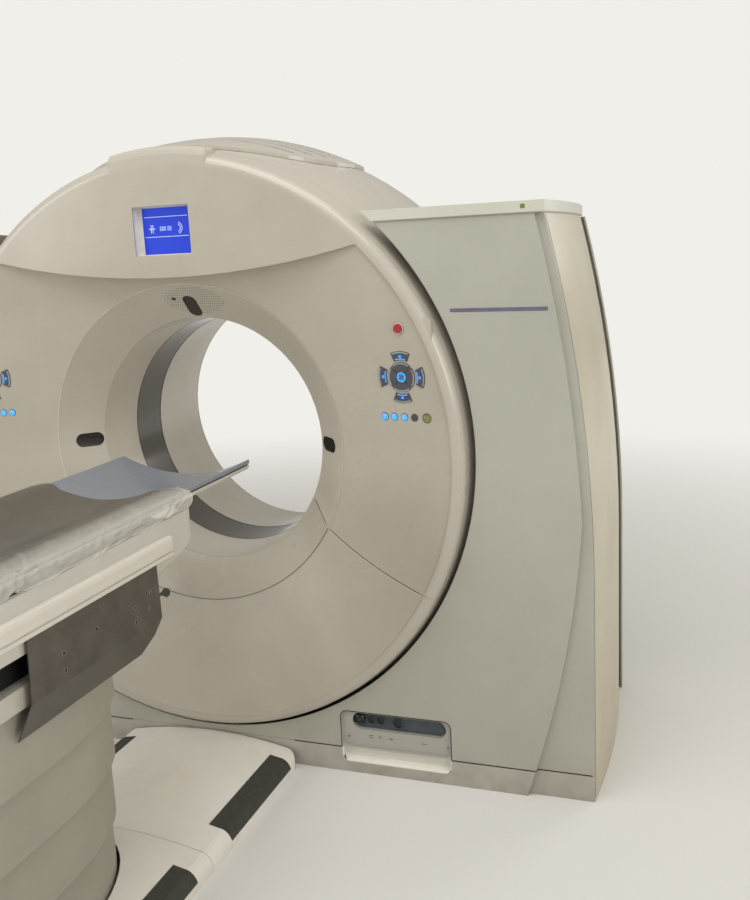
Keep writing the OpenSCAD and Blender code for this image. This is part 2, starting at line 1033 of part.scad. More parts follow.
// Moulded tray in the right front cover: a sunk panel with a slot of sockets over a scoop
module socket_panel() {
    face = -stand_half_d;
    tray = 3;
    scoop_top = plinth_h + 4;
    color([0.78, 0.78, 0.74])
        difference() {
            along_y(face, face + socket_d)
                rounded_box_shape(socket_x + fit, socket_low + fit, socket_w - 2 * fit,
                                  socket_high - socket_low - 2 * fit, socket_corner);
            along_y(face - 1, face + 8)
                rounded_box_shape(socket_x + tray, scoop_top, socket_w - 2 * tray,
                                  socket_high - scoop_top - tray, socket_corner - tray);
            along_x(socket_x + tray, socket_x + socket_w - tray)
                polygon([
                    [face - 1, socket_low + tray], [face + 8, socket_low + tray + 2],
                    [face + 18, socket_low + tray + 12], [face + 22, scoop_top - 16],
                    [face + 22, scoop_top - 8], [face - 1, scoop_top - 4]
                ]);
            along_y(face - 1, face + socket_d - tray)
                translate([socket_x + socket_w / 2 + 10, 173])
                    slot_shape(302, 56);
        }
}

module base_frame() {
    color(steel)
        difference() {
            union() {
                block([-base_half_w, -base_half_d, 0], [base_half_w, base_half_d, floor_t]);
                for (y = [-base_half_d, base_half_d - beam_w])
                    block([-upright_x, y, floor_t], [upright_x, y + beam_w, beam_z]);
            }
            for (x = [-anchor_x, anchor_x], y = [-anchor_y, anchor_y])
                translate([x, y, -1])
                    cylinder(floor_t + 2, r = anchor_r, $fn = 48);
        }
}

module upright_shape(d) {
    polygon([
        [-upright_foot + d, floor_t + d], [upright_foot - d, floor_t + d],
        [upright_foot - d, upright_kink], [upright_head - d, upright_top - d],
        [-upright_head + d, upright_top - d], [-upright_foot + d, upright_kink]
    ]);
}

// A channel-shaped column, open outwards, with a boss round the tilt bearing
module upright() {
    difference() {
        union() {
            difference() {
                along_x(upright_x, upright_x + upright_w) upright_shape(0);
                along_x(upright_x + 18, upright_x + upright_w + 1) upright_shape(20);
            }
            translate([upright_x, 0, axis_h])
                rotate([0, 90, 0])
                    cylinder(upright_w, r = tilt_bearing_r + 30);
            along_x(upright_x, upright_x + upright_w)
                translate([-10, floor_t])
                    square([20, upright_top - floor_t - tilt_bearing_r]);
        }
        translate([upright_x - 1, 0, axis_h])
            rotate([0, 90, 0])
                cylinder(upright_w + 2, r = tilt_bearing_r);
    }
}

module upright_left() {
    color(steel) mirror([1, 0, 0]) upright();
}

module upright_right() {
    color(steel) upright();
}

module tilt_bearings() {
    color([0.7, 0.71, 0.73])
        both_sides()
            translate([upright_x + 10, 0, axis_h])
                rotate([0, 90, 0])
                    difference() {
                        cylinder(55, r = tilt_bearing_r);
                        translate([0, 0, -1])
                            cylinder(57, r = trunnion_r + fit, $fn = 64);
                    }
}

// Gearbox and motor on the outside of the right upright
module tilt_gear_unit() {
    color([0.3, 0.32, 0.35])
        translate([upright_x + upright_w, 0, axis_h])
            rotate([0, 90, 0]) {
                cylinder(40, r = tilt_bearing_r + 20);
                translate([60, 0, 30])
                    rotate([0, 90, 0])
                        cylinder(190, r = 28);
            }
}

// Posts and stays between the uprights and the covers
module cover_brackets() {
    inner_y = stand_half_d - cover_t;
    color(steel)
        both_sides() {
            for (side = [-1, 1])
                block([upright_x + 20, min(side * upright_foot, side * inner_y), 290],
                      [upright_x + 60, max(side * upright_foot, side * inner_y), 330]);
            block([upright_x + upright_w, 230, 290],
                  [side_inner(250), 250, 330]);
            block([upright_x + 30, -20, upright_top],
                  [upright_x + 70, 20, stand_h - cover_t - fit]);
        }
}

// Inner face of the side panel at a distance from the scan plane, below the lean
function side_inner(y) =
    sqrt(pow(bow_r - cover_t, 2) - pow(y + bow_shift, 2)) - bow_x - fit;

module table_base_frame() {
    color(steel)
        difference() {
            union() {
                block([-170, -column_front - column_nose / 2, 0], [170, -base_half_d, floor_t]);
                along_z(0, floor_t) column_shape(3, -8);
            }
            for (x = [-1, 1], y = table_anchor_y)
                translate([x * table_anchor_x, -y, -1])
                    cylinder(floor_t + 2, r = anchor_r, $fn = 48);
        }
}

module along_z(low, high) {
    translate([0, 0, low])
        linear_extrude(high - low)
            children();
}

// Outline of the column cover that is n steps smaller than the top one, moved in by d
module column_shape(n, d) {
    w = column_half_w - n * column_step - d;
    l = column_nose - n * column_step - d;
    half = column_straight / 2;
    translate([0, -column_mid])
        polygon(concat(
            [for (a = [0:7.5:180]) [w * cos(a), half + l * sin(a)]],
            [for (a = [180:7.5:360]) [w * cos(a), -half + l * sin(a)]]
        ));
}

// One telescoping cover; the two in the middle hang on their mast tube by a bridge
module column_cover(i) {
    n = 3 - i;
    difference() {
        along_z(cover_low[i], cover_high[i]) column_shape(n, 0);
        along_z(cover_low[i] - 1, cover_high[i] + (n == 1 || n == 2 ? -bridge_t : 1))
            column_shape(n, column_t);
        if (n == 1 || n == 2)
            mast_box(i + 1, -0.8, cover_high[i] - bridge_t - 1, cover_high[i] + 1);
    }
}

// Block of the mast tube's size, moved in by d
module mast_box(i, d, low, high) {
    in = i * (mast_t + slide_fit) + d;
    block([-mast_half_w + in, -column_mid - mast_half_l + in, low],
          [mast_half_w - in, -column_mid + mast_half_l - in, high]);
}

module mast_tube(i) {
    difference() {
        mast_box(i, 0, mast_low[i], mast_high[i]);
        mast_box(i, mast_t, mast_low[i] - 1, mast_high[i] + 1);
    }
}

module column_cover_1() {
    color(cover_white) column_cover(0);
}

module column_cover_2() {
    color(cover_white) column_cover(1);
}

module column_cover_3() {
    color(cover_white) column_cover(2);
}

module column_cover_4() {
    color(cover_white) column_cover(3);
}

module mast_tube_1() {
    color(steel) mast_tube(0);
}

module mast_tube_2() {
    color(steel) mast_tube(1);
}

module mast_tube_3() {
    color(steel) mast_tube(2);
}

module mast_tube_4() {
    color(steel) mast_tube(3);
}

plate_y = stand_half_d + 6;
plate_shell = 5;
shoulder_x = plate_half_w - 40;
shoulder_z = crown(shoulder_x) - 45;

// Right half of the plates' crowned line, moved out by g
function crown_line(g) = concat(
    [for (i = [0:5]) let (x = shoulder_x * i / 5) [x, crown(x) + g]],
    [for (a = [15:15:90]) [shoulder_x + (40 + g) * sin(a), shoulder_z + (45 + g) * cos(a)]]
);

module plate_section(g) {
    line = crown_line(g);
    last = len(line) - 1;
    polygon(concat(
        [for (i = [last:-1:0]) [-line[i][0], line[i][1]]], line,
        [[plate_half_w + g, 0], [-plate_half_w - g, 0]]
    ));
}

// A hollow plate cover with walls on top, at its sides and at its ends
module floor_plate(from, to) {
    difference() {
        along_y(-to, -from) plate_section(0);
        translate([0, 0, -1])
            along_y(-to + plate_shell, -from - plate_shell) plate_section(-plate_shell);
        block([-180, -to - 1, -1], [180, -from + 1, floor_t]);
    }
}

module floor_plate_front() {
    r = 46;
    color([0.86, 0.84, 0.78])
        intersection() {
            floor_plate(plate_y, plate_y + plate_front_len);
            translate([0, 0, -1])
                linear_extrude(200) {
                    translate([-plate_half_w, -plate_y - plate_front_len])
                        square([2 * plate_half_w, plate_front_len - r]);
                    translate([-plate_half_w + r, -plate_y - plate_front_len])
                        square([2 * (plate_half_w - r), plate_front_len]);
                    for (side = [-1, 1])
                        translate([side * (plate_half_w - r), -plate_y - r])
                            circle(r, $fn = 48);
                }
        }
}

module floor_plate_rear() {
    from = plate_y + plate_front_len + 1.5;
    color([0.86, 0.84, 0.78])
        difference() {
            floor_plate(from, from + plate_rear_len);
            along_z(-1, 200) column_shape(3, -9);
        }
}

// Rubber treads over the plates' shoulders, two on each side
module tread_strips() {
    line = crown_line(0);
    part = [for (i = [5:len(line) - 2]) line[i]];
    color([0.2, 0.21, 0.18])
        for (from = [plate_y + 65, plate_y + plate_front_len + 82])
            both_sides()
                along_y(-from - strip_len, -from)
                    sheet_section(concat([[246, crown(246) + 0.05]], part), 1.2);
}

module lift_platform() {
    color([0.7, 0.68, 0.62])
        block([-bed_half_w + 10, -platform_back, platform_h],
              [bed_half_w - 10, -column_front - 60, platform_h + platform_t]);
}

// Dark drive housing between the platform and the bed frame
module drive_bay() {
    color(dark)
        block([-bed_half_w + 40, -platform_back + 30, platform_h + platform_t],
              [bed_half_w - 40, -column_front - 90, bed_low_h]);
}

nose_a = 274;
nose_z = bed_top_h - 29;
trough_wall = 12;
rib_in = 95;
rib_out = 120;
rib_top = keel_low - fit;

// Side view of the bed frame, with its upswept nose
module bed_side_shape() {
    polygon(concat(
        [[-nose_y - 3, bed_top_h]],
        [for (a = [0:10:90])
            [-nose_y - nose_a + nose_a * cos(a), nose_z - (nose_z - bed_low_h) * sin(a)]],
        [[-bed_end, bed_low_h], [-bed_end, bed_top_h]]
    ));
}

// Trough that carries the table top on two ribs
module bed_frame() {
    r = 60;
    color([0.72, 0.71, 0.66]) {
        difference() {
            intersection() {
                along_x(-bed_half_w, bed_half_w) bed_side_shape();
                linear_extrude(2000) {
                    translate([-bed_half_w, -bed_end])
                        square([2 * bed_half_w, bed_len - r]);
                    translate([-bed_half_w + r, -bed_end])
                        square([2 * (bed_half_w - r), bed_len]);
                    for (side = [-1, 1])
                        translate([side * (bed_half_w - r), -nose_y - r])
                            circle(r, $fn = 48);
                }
            }
            difference() {
                block([-bed_half_w + trough_wall, -bed_end + trough_wall, bed_low_h + 20],
                      [bed_half_w - trough_wall, -nose_y - 120, 2000]);
                for (side = [-1, 1])
                    block([side * (rib_in + rib_out) / 2 - (rib_out - rib_in) / 2, -far, 0],
                          [side * (rib_in + rib_out) / 2 + (rib_out - rib_in) / 2, 0, rib_top]);
            }
            block([-bed_half_w + trough_wall, -nose_y - 130, rib_top - 3],
                  [bed_half_w - trough_wall, 0, 2000]);
        }
    }
}

rail_high = bed_top_h - 38;
rail_low = rail_high - 53;
rail_end = 961;
rail_t = 13;

// Side rails with a rounded top and a groove near the lower edge
module bed_rails() {
    color([0.9, 0.88, 0.84])
        both_sides()
            along_y(-bed_end + 60, -rail_end)
                translate([bed_half_w, 0])
                    polygon([
                        [0, rail_low], [rail_t, rail_low], [rail_t, rail_low + 9],
                        [rail_t - 4, rail_low + 10], [rail_t - 4, rail_low + 13],
                        [rail_t, rail_low + 14], [rail_t, rail_high - 14],
                        [rail_t - 2, rail_high - 6], [rail_t - 6, rail_high - 1.5],
                        [0, rail_high]
                    ]);
}

sheet_t = 3;
panel_front = 1041;
panel_back = 1526;
panel_bend_h = bed_low_h - 105;
panel_flange = 80;
panel_fold = 20;
panel_holes = [[39, 80], [47, 43], [109, 65], [109, 30], [259, 73], [379, 65], [379, 27]];

// Bent steel plate hung below the right rail, with holes for accessories
module accessory_plate() {
    face = bed_half_w + 8;
    color([0.34, 0.31, 0.28])
        difference() {
            union() {
                along_x(face, face + sheet_t)
                    polygon([
                        [-panel_back - 8, panel_bend_h], [-panel_front + 3, panel_bend_h],
                        [-panel_front, rail_low], [-panel_back, rail_low]
                    ]);
                translate([face + sheet_t, 0, panel_bend_h])
                    rotate([0, panel_fold, 0])
                        along_x(-sheet_t, 0)
                            polygon([
                                [-panel_back - 8, 0], [-panel_back - 30, -panel_flange],
                                [-panel_front - 60, -panel_flange],
                                [-panel_front - 14, -panel_flange * 0.55],
                                [-panel_front + 3, 0]
                            ]);
                for (y = [panel_front + 60, panel_back - 60])
                    translate([bed_half_w, -y, bed_low_h + 16])
                        rotate([0, 90, 0])
                            cylinder(face - bed_half_w, r = 8, $fn = 32);
            }
            for (p = panel_holes)
                translate([0, -panel_front - p[0], panel_bend_h + p[1]])
                    rotate([0, 90, 0])
                        cylinder(far, r = 4, $fn = 32);
        }
}

// Section of the table top: a shallow hollow with a grooved edge
module top_section() {
    out_r = hollow_r + top_t;
    low_a = asin((top_half_w - 6) / out_r);
    edge = top_half_w;
    z = top_edge_h;
    polygon(concat(
        [for (i = [-8:8]) let (a = i * hollow_a / 8)
            [hollow_r * sin(a), hollow_z - hollow_r * cos(a)]],
        [[edge + 2, z - 3], [edge + 2, z - 12], [edge - 4, z - 13], [edge - 4, z - 17],
         [edge + 1, z - 18], [edge, z - 23]],
        [for (i = [8:-1:-8]) let (a = i * low_a / 8)
            [out_r * sin(a), hollow_z - out_r * cos(a)]],
        [[-edge, z - 23], [-edge - 1, z - 18], [-edge + 4, z - 17], [-edge + 4, z - 13],
         [-edge - 2, z - 12], [-edge - 2, z - 3]]
    ));
}

module table_top() {
    color([0.52, 0.55, 0.58]) {
        along_y(-top_back, -top_end) top_section();
        along_y(-top_back + 20, -nose_y - 30)
            difference() {
                translate([-keel_half_w, keel_low])
                    square([2 * keel_half_w, 30]);
                translate([0, hollow_z])
                    circle(hollow_r + top_t - 4, $fn = 180);
            }
    }
}

// Mattress with the sheet that covers it, over the table top's edges
module mattress() {
    half = bed_half_w - 3;
    r = hollow_r;
    pad = 34;
    color([0.55, 0.53, 0.48])
        along_y(-top_back + 30, -mattress_front)
            polygon(concat(
                [for (i = [-8:8]) let (a = i * hollow_a / 8)
                    [(r - fit) * sin(a), hollow_z - (r - fit) * cos(a)]],
                [[top_half_w + 3, top_edge_h - 1], [top_half_w + 3, bed_top_h + 3],
                 [half, bed_top_h + 3], [half, top_edge_h - 14], [half - 14, top_edge_h + 12],
                 [top_half_w - 14, top_edge_h + 16]],
                [for (i = [6:-1:-6]) let (a = i * hollow_a / 8)
                    [(r - pad) * sin(a), hollow_z - (r - pad) * cos(a)]],
                [[-top_half_w + 14, top_edge_h + 16], [-half + 14, top_edge_h + 12],
                 [-half, top_edge_h - 14], [-half, bed_top_h + 3],
                 [-top_half_w - 3, bed_top_h + 3], [-top_half_w - 3, top_edge_h - 1]]
            ));
}

base_frame();
upright_left();
upright_right();
tilt_bearings();
tilt_gear_unit();
stand_front_left();
stand_front_right();
stand_side_left();
stand_side_right();
stand_rear_left();
stand_rear_right();
stand_cap_left();
stand_cap_right();
plinth_front();
plinth_rear();
socket_panel();
cover_brackets();
front_cover();
lower_front_cover();
front_tunnel();
scan_window();
rear_tunnel();
rear_cover();
mantle();
top_vent();
display_bezel();
display_screen();
laser_windows();
keypad_left();
keypad_right();
stop_button_left();
stop_button_right();
tilt_frame();
trunnion_pins();
main_bearing();
rotor_drum();
xray_tube();
collimator();
detector_arc();
power_units();
slip_ring();
table_base_frame();
floor_plate_front();
floor_plate_rear();
tread_strips();
column_cover_1();
column_cover_2();
column_cover_3();
column_cover_4();
mast_tube_1();
mast_tube_2();
mast_tube_3();
mast_tube_4();
lift_platform();
drive_bay();
bed_frame();
bed_rails();
accessory_plate();
table_top();
mattress();
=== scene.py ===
"""Looks of the computed tomography scanner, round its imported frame.
Lengths are in metres. +X points right as seen from the table, +Y into the gantry, +Z up."""
import math

import bmesh
import bpy
from mathutils import Matrix, Vector, noise


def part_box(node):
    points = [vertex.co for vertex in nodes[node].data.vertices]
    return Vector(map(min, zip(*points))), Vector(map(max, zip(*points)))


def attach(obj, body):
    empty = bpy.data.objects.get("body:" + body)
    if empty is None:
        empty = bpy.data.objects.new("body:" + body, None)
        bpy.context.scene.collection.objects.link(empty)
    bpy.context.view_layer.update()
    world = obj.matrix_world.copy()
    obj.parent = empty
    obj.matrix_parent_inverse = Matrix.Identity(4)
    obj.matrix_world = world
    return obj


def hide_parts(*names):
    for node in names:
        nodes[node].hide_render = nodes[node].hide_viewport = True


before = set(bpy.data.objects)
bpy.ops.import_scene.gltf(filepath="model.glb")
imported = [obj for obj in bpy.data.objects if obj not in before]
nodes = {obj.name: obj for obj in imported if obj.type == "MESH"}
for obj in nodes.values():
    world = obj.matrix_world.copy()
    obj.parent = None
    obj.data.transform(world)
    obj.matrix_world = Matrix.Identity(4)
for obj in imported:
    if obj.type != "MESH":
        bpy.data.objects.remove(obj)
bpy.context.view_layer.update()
scene = bpy.context.scene

# Camera: a phone held at head height, to the right of the table and turned towards the
# bore. The picture is 750 x 900.
CAMERA_AT = Vector((1.57984, -3.03697, 1.60648))
CAMERA_YAW, CAMERA_PITCH, CAMERA_ROLL = 0.3492, 0.2009, -0.0506
SENSOR = 36.0
PICTURE_HEIGHT = 900
FOCAL_PIXELS = 984.76

ahead = Vector((-math.sin(CAMERA_YAW) * math.cos(CAMERA_PITCH),
                math.cos(CAMERA_YAW) * math.cos(CAMERA_PITCH), -math.sin(CAMERA_PITCH)))
level = Vector((math.cos(CAMERA_YAW), math.sin(CAMERA_YAW), 0))
upright = level.cross(ahead)
right = math.cos(CAMERA_ROLL) * level + math.sin(CAMERA_ROLL) * upright
up = math.cos(CAMERA_ROLL) * upright - math.sin(CAMERA_ROLL) * level
camera = bpy.data.objects.new("camera", bpy.data.cameras.new("camera"))
camera.data.sensor_fit = "VERTICAL"
camera.data.sensor_height = SENSOR
camera.data.lens = SENSOR * FOCAL_PIXELS / PICTURE_HEIGHT
turned = Matrix((right, up, -ahead)).transposed().to_4x4()
camera.matrix_world = Matrix.Translation(CAMERA_AT) @ turned
scene.collection.objects.link(camera)
scene.camera = camera
scene.view_settings.view_transform = "Standard"


# Room: a plain pale floor that fades into the background, under soft light from a bright
# ceiling, as in a studio. The floor takes the scanner's shadow.
def linear(code):
    """The linear colour of an sRGB hex code such as '#B8AD9B'."""
    parts = [int(code[i:i + 2], 16) / 255 for i in (1, 3, 5)]
    return tuple(c / 12.92 if c <= 0.04045 else ((c + 0.055) / 1.055) ** 2.4
                 for c in parts) + (1.0,)


def add(owner, kind, inputs=None, **settings):
    """Adds a node to a material or the world. An input takes a value or a node's output."""
    node = owner.node_tree.nodes.new("ShaderNode" + kind)
    for key, value in settings.items():
        setattr(node, key, value)
    for key, value in (inputs or {}).items():
        if isinstance(value, bpy.types.NodeSocket):
            owner.node_tree.links.new(value, node.inputs[key])
        else:
            node.inputs[key].default_value = value
    return node


def bare_material(name):
    """A material with nothing in it but its output."""
    material = bpy.data.materials.new(name)
    material.use_nodes = True
    material.node_tree.nodes.clear()
    add(material, "OutputMaterial")
    return material


def show(material, shader):
    """Sends a shader to the material's output."""
    output = next(n for n in material.node_tree.nodes if n.type == "OUTPUT_MATERIAL")
    material.node_tree.links.new(shader, output.inputs["Surface"])


BACKGROUND = "#F1EFEA"
FLOOR_HALF = 14.0
FADE_START, FADE_END = 2.6, 6.5
floor_mesh = bpy.data.meshes.new("studio_floor")
floor_mesh.from_pydata(
    [(x * FLOOR_HALF, y * FLOOR_HALF, 0) for x, y in ((-1, -1), (1, -1), (1, 1), (-1, 1))],
    [], [(0, 1, 2, 3)])
studio_floor = bpy.data.objects.new("studio_floor", floor_mesh)
scene.collection.objects.link(studio_floor)
pale_floor = bare_material("pale_studio_floor")
floor_place = add(pale_floor, "TexCoord").outputs["Object"]
floor_distance = add(pale_floor, "VectorMath", {0: floor_place, 1: (0.0, -0.8, 0.0)},
                     operation="DISTANCE")
floor_fade = add(pale_floor, "MapRange", {"Value": floor_distance.outputs["Value"],
                                          "From Min": FADE_START, "From Max": FADE_END},
                 interpolation_type="SMOOTHSTEP")
floor_near = add(pale_floor, "BsdfPrincipled", {"Base Color": linear("#E4E2DD"),
                                                "Roughness": 0.8})
floor_far = add(pale_floor, "Emission", {"Color": linear(BACKGROUND), "Strength": 1.0})
show(pale_floor, add(pale_floor, "MixShader", {
    0: floor_fade.outputs[0], 1: floor_near.outputs[0], 2: floor_far.outputs[0]}).outputs[0])
floor_mesh.materials.append(pale_floor)

LAMPS = (  # name, place, what it points at, width, depth, watts
    ("ceiling_lamp", (0.4, -2.0, 4.8), (0.0, -0.6, 0.5), 3.6, 3.2, 98),
    ("left_window", (-4.5, -4.0, 2.6), (0.0, -0.2, 1.0), 2.6, 2.2, 60),
    ("right_window", (5.0, -2.4, 2.6), (1.0, 0.0, 1.0), 2.0, 2.0, 50),
    ("back_lamp", (3.6, 3.8, 3.0), (0.6, 0.0, 1.0), 2.5, 2.5, 40),
)
for name, place, target, width, depth, watts in LAMPS:
    lamp = bpy.data.objects.new(name, bpy.data.lights.new(name, "AREA"))
    lamp.data.shape = "RECTANGLE"
    lamp.data.size, lamp.data.size_y, lamp.data.energy = width, depth, watts
    lamp.location = place
    lamp.rotation_euler = (Vector(target) - Vector(place)).to_track_quat("-Z", "Y").to_euler()
    scene.collection.objects.link(lamp)

world = bpy.data.worlds.new("pale_room")
scene.world = world
world.use_nodes = True
world.node_tree.nodes.clear()
seen_sky = add(world, "Background", {"Color": linear(BACKGROUND), "Strength": 1.0})
room_light = add(world, "Background", {"Color": linear("#F4F1EA"), "Strength": 0.5})
ray = add(world, "LightPath")
seen = add(world, "Math", {0: ray.outputs["Is Camera Ray"],
                           1: ray.outputs["Is Transmission Ray"]}, operation="MAXIMUM")
either = add(world, "MixShader", {0: seen.outputs[0], 1: room_light.outputs[0],
                                  2: seen_sky.outputs[0]})
add(world, "OutputWorld", {"Surface": either.outputs[0]})


# Ring covers: moulded polyurethane shells, primed and sprayed with a warm white two-pack
# lacquer. The rounded rim is painted a little brighter than the dished face, as a painted
# highlight. Years of hands and sunlight leave it slightly blotched, and duller near the floor.
window_low, window_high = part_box("scan_window")
AXIS_Z = (window_low[2] + window_high[2]) / 2
RING_Z = AXIS_Z - 0.015
FACE_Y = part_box("front_cover")[0][1]
EDGE_R, SEAM_R, THROAT_R = 0.868, 0.507, 0.3965
DISH_R = 0.882
SEAM_Y, THROAT_Y = FACE_Y + 0.074, FACE_Y + 0.178


def dress(material, *names):
    """Gives CAD nodes a material."""
    for name in names:
        mesh = nodes[name].data
        mesh.materials.clear()
        mesh.materials.append(material)
        for face in mesh.polygons:
            face.material_index = 0


def lacquered(name, colour, aged, roughness, coat=0.35, peel=0.05, edge=0.003,
              rim=None, grime=0.0):
    """Sprayed lacquer: an even gloss with faint orange peel and cloudy, aged patches.
    rim is a brighter colour painted outside the ring's edge, a painted highlight; grime is
    how much dirt gathers near the floor."""
    material = bare_material(name)
    place = add(material, "TexCoord").outputs["Object"]
    cloud = add(material, "TexNoise", {"Vector": place, "Scale": 1 / 0.42, "Detail": 4.0,
                                       "Roughness": 0.55}).outputs[0]
    patches = add(material, "MapRange", {"Value": cloud, "From Min": 0.28, "From Max": 0.75},
                  interpolation_type="SMOOTHSTEP")
    speck = add(material, "TexNoise", {"Vector": place, "Scale": 1 / 0.006, "Detail": 2.0})
    fine = add(material, "MapRange", {"Value": speck.outputs[0], "From Min": 0.3, "From Max": 0.7,
                                      "To Min": -0.035, "To Max": 0.035})
    blend = add(material, "Math", {0: patches.outputs[0], 1: fine.outputs[0]}, operation="ADD")
    tint = add(material, "Mix", {0: blend.outputs[0], 6: linear(colour), 7: linear(aged)},
               data_type="RGBA")
    parts = add(material, "SeparateXYZ", {0: place})
    # Outside the ring's edge the colour is mixed towards rim: a painted highlight on the rounded
    # rim.
    if rim:
        flat = add(material, "CombineXYZ", {0: parts.outputs[0], 2: parts.outputs[2]})
        reach = add(material, "VectorMath", {0: flat.outputs[0], 1: (0.0, 0.0, RING_Z)},
                    operation="DISTANCE")
        outside = add(material, "MapRange", {
            "Value": reach.outputs["Value"], "From Min": EDGE_R - 0.012,
            "From Max": EDGE_R + 0.012}, interpolation_type="SMOOTHSTEP")
        tint = add(material, "Mix", {0: outside.outputs[0], 6: tint.outputs[2], 7: linear(rim)},
                   data_type="RGBA")
    if grime:
        smear = add(material, "TexNoise", {"Vector": place, "Scale": 1 / 0.05, "Detail": 5.0})
        low = add(material, "MapRange", {"Value": parts.outputs[2], "From Min": 0.0,
                                         "From Max": 0.16, "To Min": grime, "To Max": 0.0})
        dirt = add(material, "Math", {0: smear.outputs[0], 1: low.outputs[0]},
                   operation="MULTIPLY")
        tint = add(material, "Mix", {0: dirt.outputs[0], 6: tint.outputs[2],
                                     7: linear("#6A6052")}, data_type="RGBA")
    dull = add(material, "MapRange", {"Value": cloud, "From Min": 0.3, "From Max": 0.7,
                                      "To Min": roughness - 0.04, "To Max": roughness + 0.06})
    waves = add(material, "TexNoise", {"Vector": place, "Scale": 1 / 0.014, "Detail": 1.0})
    eased = add(material, "Bevel", {"Radius": edge}, samples=4)
    orange_peel = add(material, "Bump", {"Height": waves.outputs[0], "Strength": peel,
                                         "Distance": 0.002, "Normal": eased.outputs[0]})
    show(material, add(material, "BsdfPrincipled", {
        "Base Color": tint.outputs[2], "Roughness": dull.outputs[0], "IOR": 1.5,
        "Coat Weight": coat, "Coat Roughness": 0.16,
        "Normal": orange_peel.outputs[0]}).outputs[0])
    return material


# The rim colour given here is a painted highlight, brighter than the blotched dished face.
ring_lacquer = lacquered("polyurethane_lacquer_warm_white", "#C4BDAE", "#B8B09F", 0.29, 0.5,
                         rim="#C3BCAE", grime=0.25)
dress(ring_lacquer, "front_cover", "lower_front_cover", "rear_cover", "mantle", "top_vent")
tunnel_lacquer = lacquered("polyurethane_lacquer_tunnel", "#CFC9BB", "#C5BDAC", 0.36)
dress(tunnel_lacquer, "front_tunnel", "rear_tunnel")


# Seams of the ring: between its shells lies a narrow dark gap with a rubber cord pressed
# in, and a pale strip along its lower edge is a painted highlight. Both are drawn as thin
# strips.
def grained(material, place, size, strength, depth):
    """The normal of a surface with pits of this size."""
    pits = add(material, "TexNoise", {"Vector": place, "Scale": 1 / size, "Detail": 2.0})
    return add(material, "Bump", {"Height": pits.outputs[0], "Strength": strength,
                                  "Distance": depth}).outputs[0]


def painted(name, colour, roughness=0.5, metallic=0.0, grain=0.001, depth=0.0, coat=0.0):
    """A plain finish with fine variation in colour and a grain of the given size."""
    material = bare_material(name)
    place = add(material, "TexCoord").outputs["Object"]
    mottle = add(material, "TexNoise", {"Vector": place, "Scale": 1 / 0.03, "Detail": 4.0})
    shade = add(material, "HueSaturation", {
        "Value": add(material, "MapRange", {"Value": mottle.outputs[0], "From Min": 0.3,
                                            "From Max": 0.7, "To Min": 0.9,
                                            "To Max": 1.1}).outputs[0],
        "Color": linear(colour)})
    show(material, add(material, "BsdfPrincipled", {
        "Base Color": shade.outputs[0], "Roughness": roughness, "Metallic": metallic,
        "Coat Weight": coat,
        "Normal": grained(material, place, grain, 0.25, max(depth, 0.00005))}).outputs[0])
    return material


def piece(name, points, faces, material, body, slot, smooth=True):
    """A mesh piece that rides on a body."""
    mesh = bpy.data.meshes.new(name)
    mesh.from_pydata([tuple(p) for p in points], [], faces)
    mesh.materials.append(material)
    for face in mesh.polygons:
        face.use_smooth = smooth
    thing = bpy.data.objects.new(name, mesh)
    scene.collection.objects.link(thing)
    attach(thing, body)
    return thing


def ribbon(path, width, proud):
    """Points and faces of a flat strip along (point, normal) pairs, proud of the surface."""
    points, faces = [], []
    for i, (point, normal) in enumerate(path):
        before, after = path[max(i - 1, 0)][0], path[min(i + 1, len(path) - 1)][0]
        side = (after - before).cross(normal).normalized() * (width / 2)
        lifted = point + normal * proud
        points += [lifted - side, lifted + side]
        if i:
            faces.append((2 * i - 2, 2 * i - 1, 2 * i + 1, 2 * i))
    return points, faces


def on_face(x, z):
    """The point of the ring's dished front at (x, z), and the way its surface looks."""
    radius = math.hypot(x, z - AXIS_Z)
    if radius > SEAM_R:
        slope = (FACE_Y - SEAM_Y) / (DISH_R - SEAM_R)
        y = SEAM_Y + slope * (radius - SEAM_R)
    else:
        slope = (SEAM_Y - THROAT_Y) / (SEAM_R - THROAT_R)
        y = THROAT_Y + slope * (radius - THROAT_R)
    outward = Vector((x, 0, z - AXIS_Z)).normalized()
    return Vector((x, y, z)), (Vector((0, -1, 0)) + outward * slope).normalized()


SPLIT_R, SPLIT_X, SPLIT_Z = 1.166, 1.146, 0.685


def on_split(side, share):
    """x and z on the arc of the seam between upper and lower covers, from bore to rim."""
    angle = math.radians(180 + 78 * share)
    return (side * (SPLIT_X + SPLIT_R * math.cos(angle)),
            AXIS_Z + SPLIT_Z + SPLIT_R * math.sin(angle))


SEAM_WIDTH, FACE_PROUD, CREASE_PROUD = 0.0022, 0.0004, 0.0010
seam_rubber = painted("seam_rubber_dark", "#2A2723", 0.7)
# This pale colour is a painted highlight along the covers' edges and the crease.
painted_edge_highlight = painted("lacquer_painted_edge_highlight", "#EFE9DC", 0.4)
for side, word in ((-1, "left"), (1, "right")):
    split = []
    for i in range(61):
        x, z = on_split(side, i / 60)
        outside_throat = math.hypot(x, z - AXIS_Z) > THROAT_R + 0.004
        if z < AXIS_Z and outside_throat and math.hypot(x, z - RING_Z) < EDGE_R:
            split.append(on_face(x, z))
    for label, offset, width, finish in (("seam", 0.0, SEAM_WIDTH, seam_rubber),
                                         ("edge", -0.0024, 0.0016, painted_edge_highlight)):
        shifted = [(point + Vector((0, 0, offset)), normal) for point, normal in split]
        piece(f"lower_cover_{label}_{word}", *ribbon(shifted, width, FACE_PROUD), finish,
              "ring", "ring_cover")
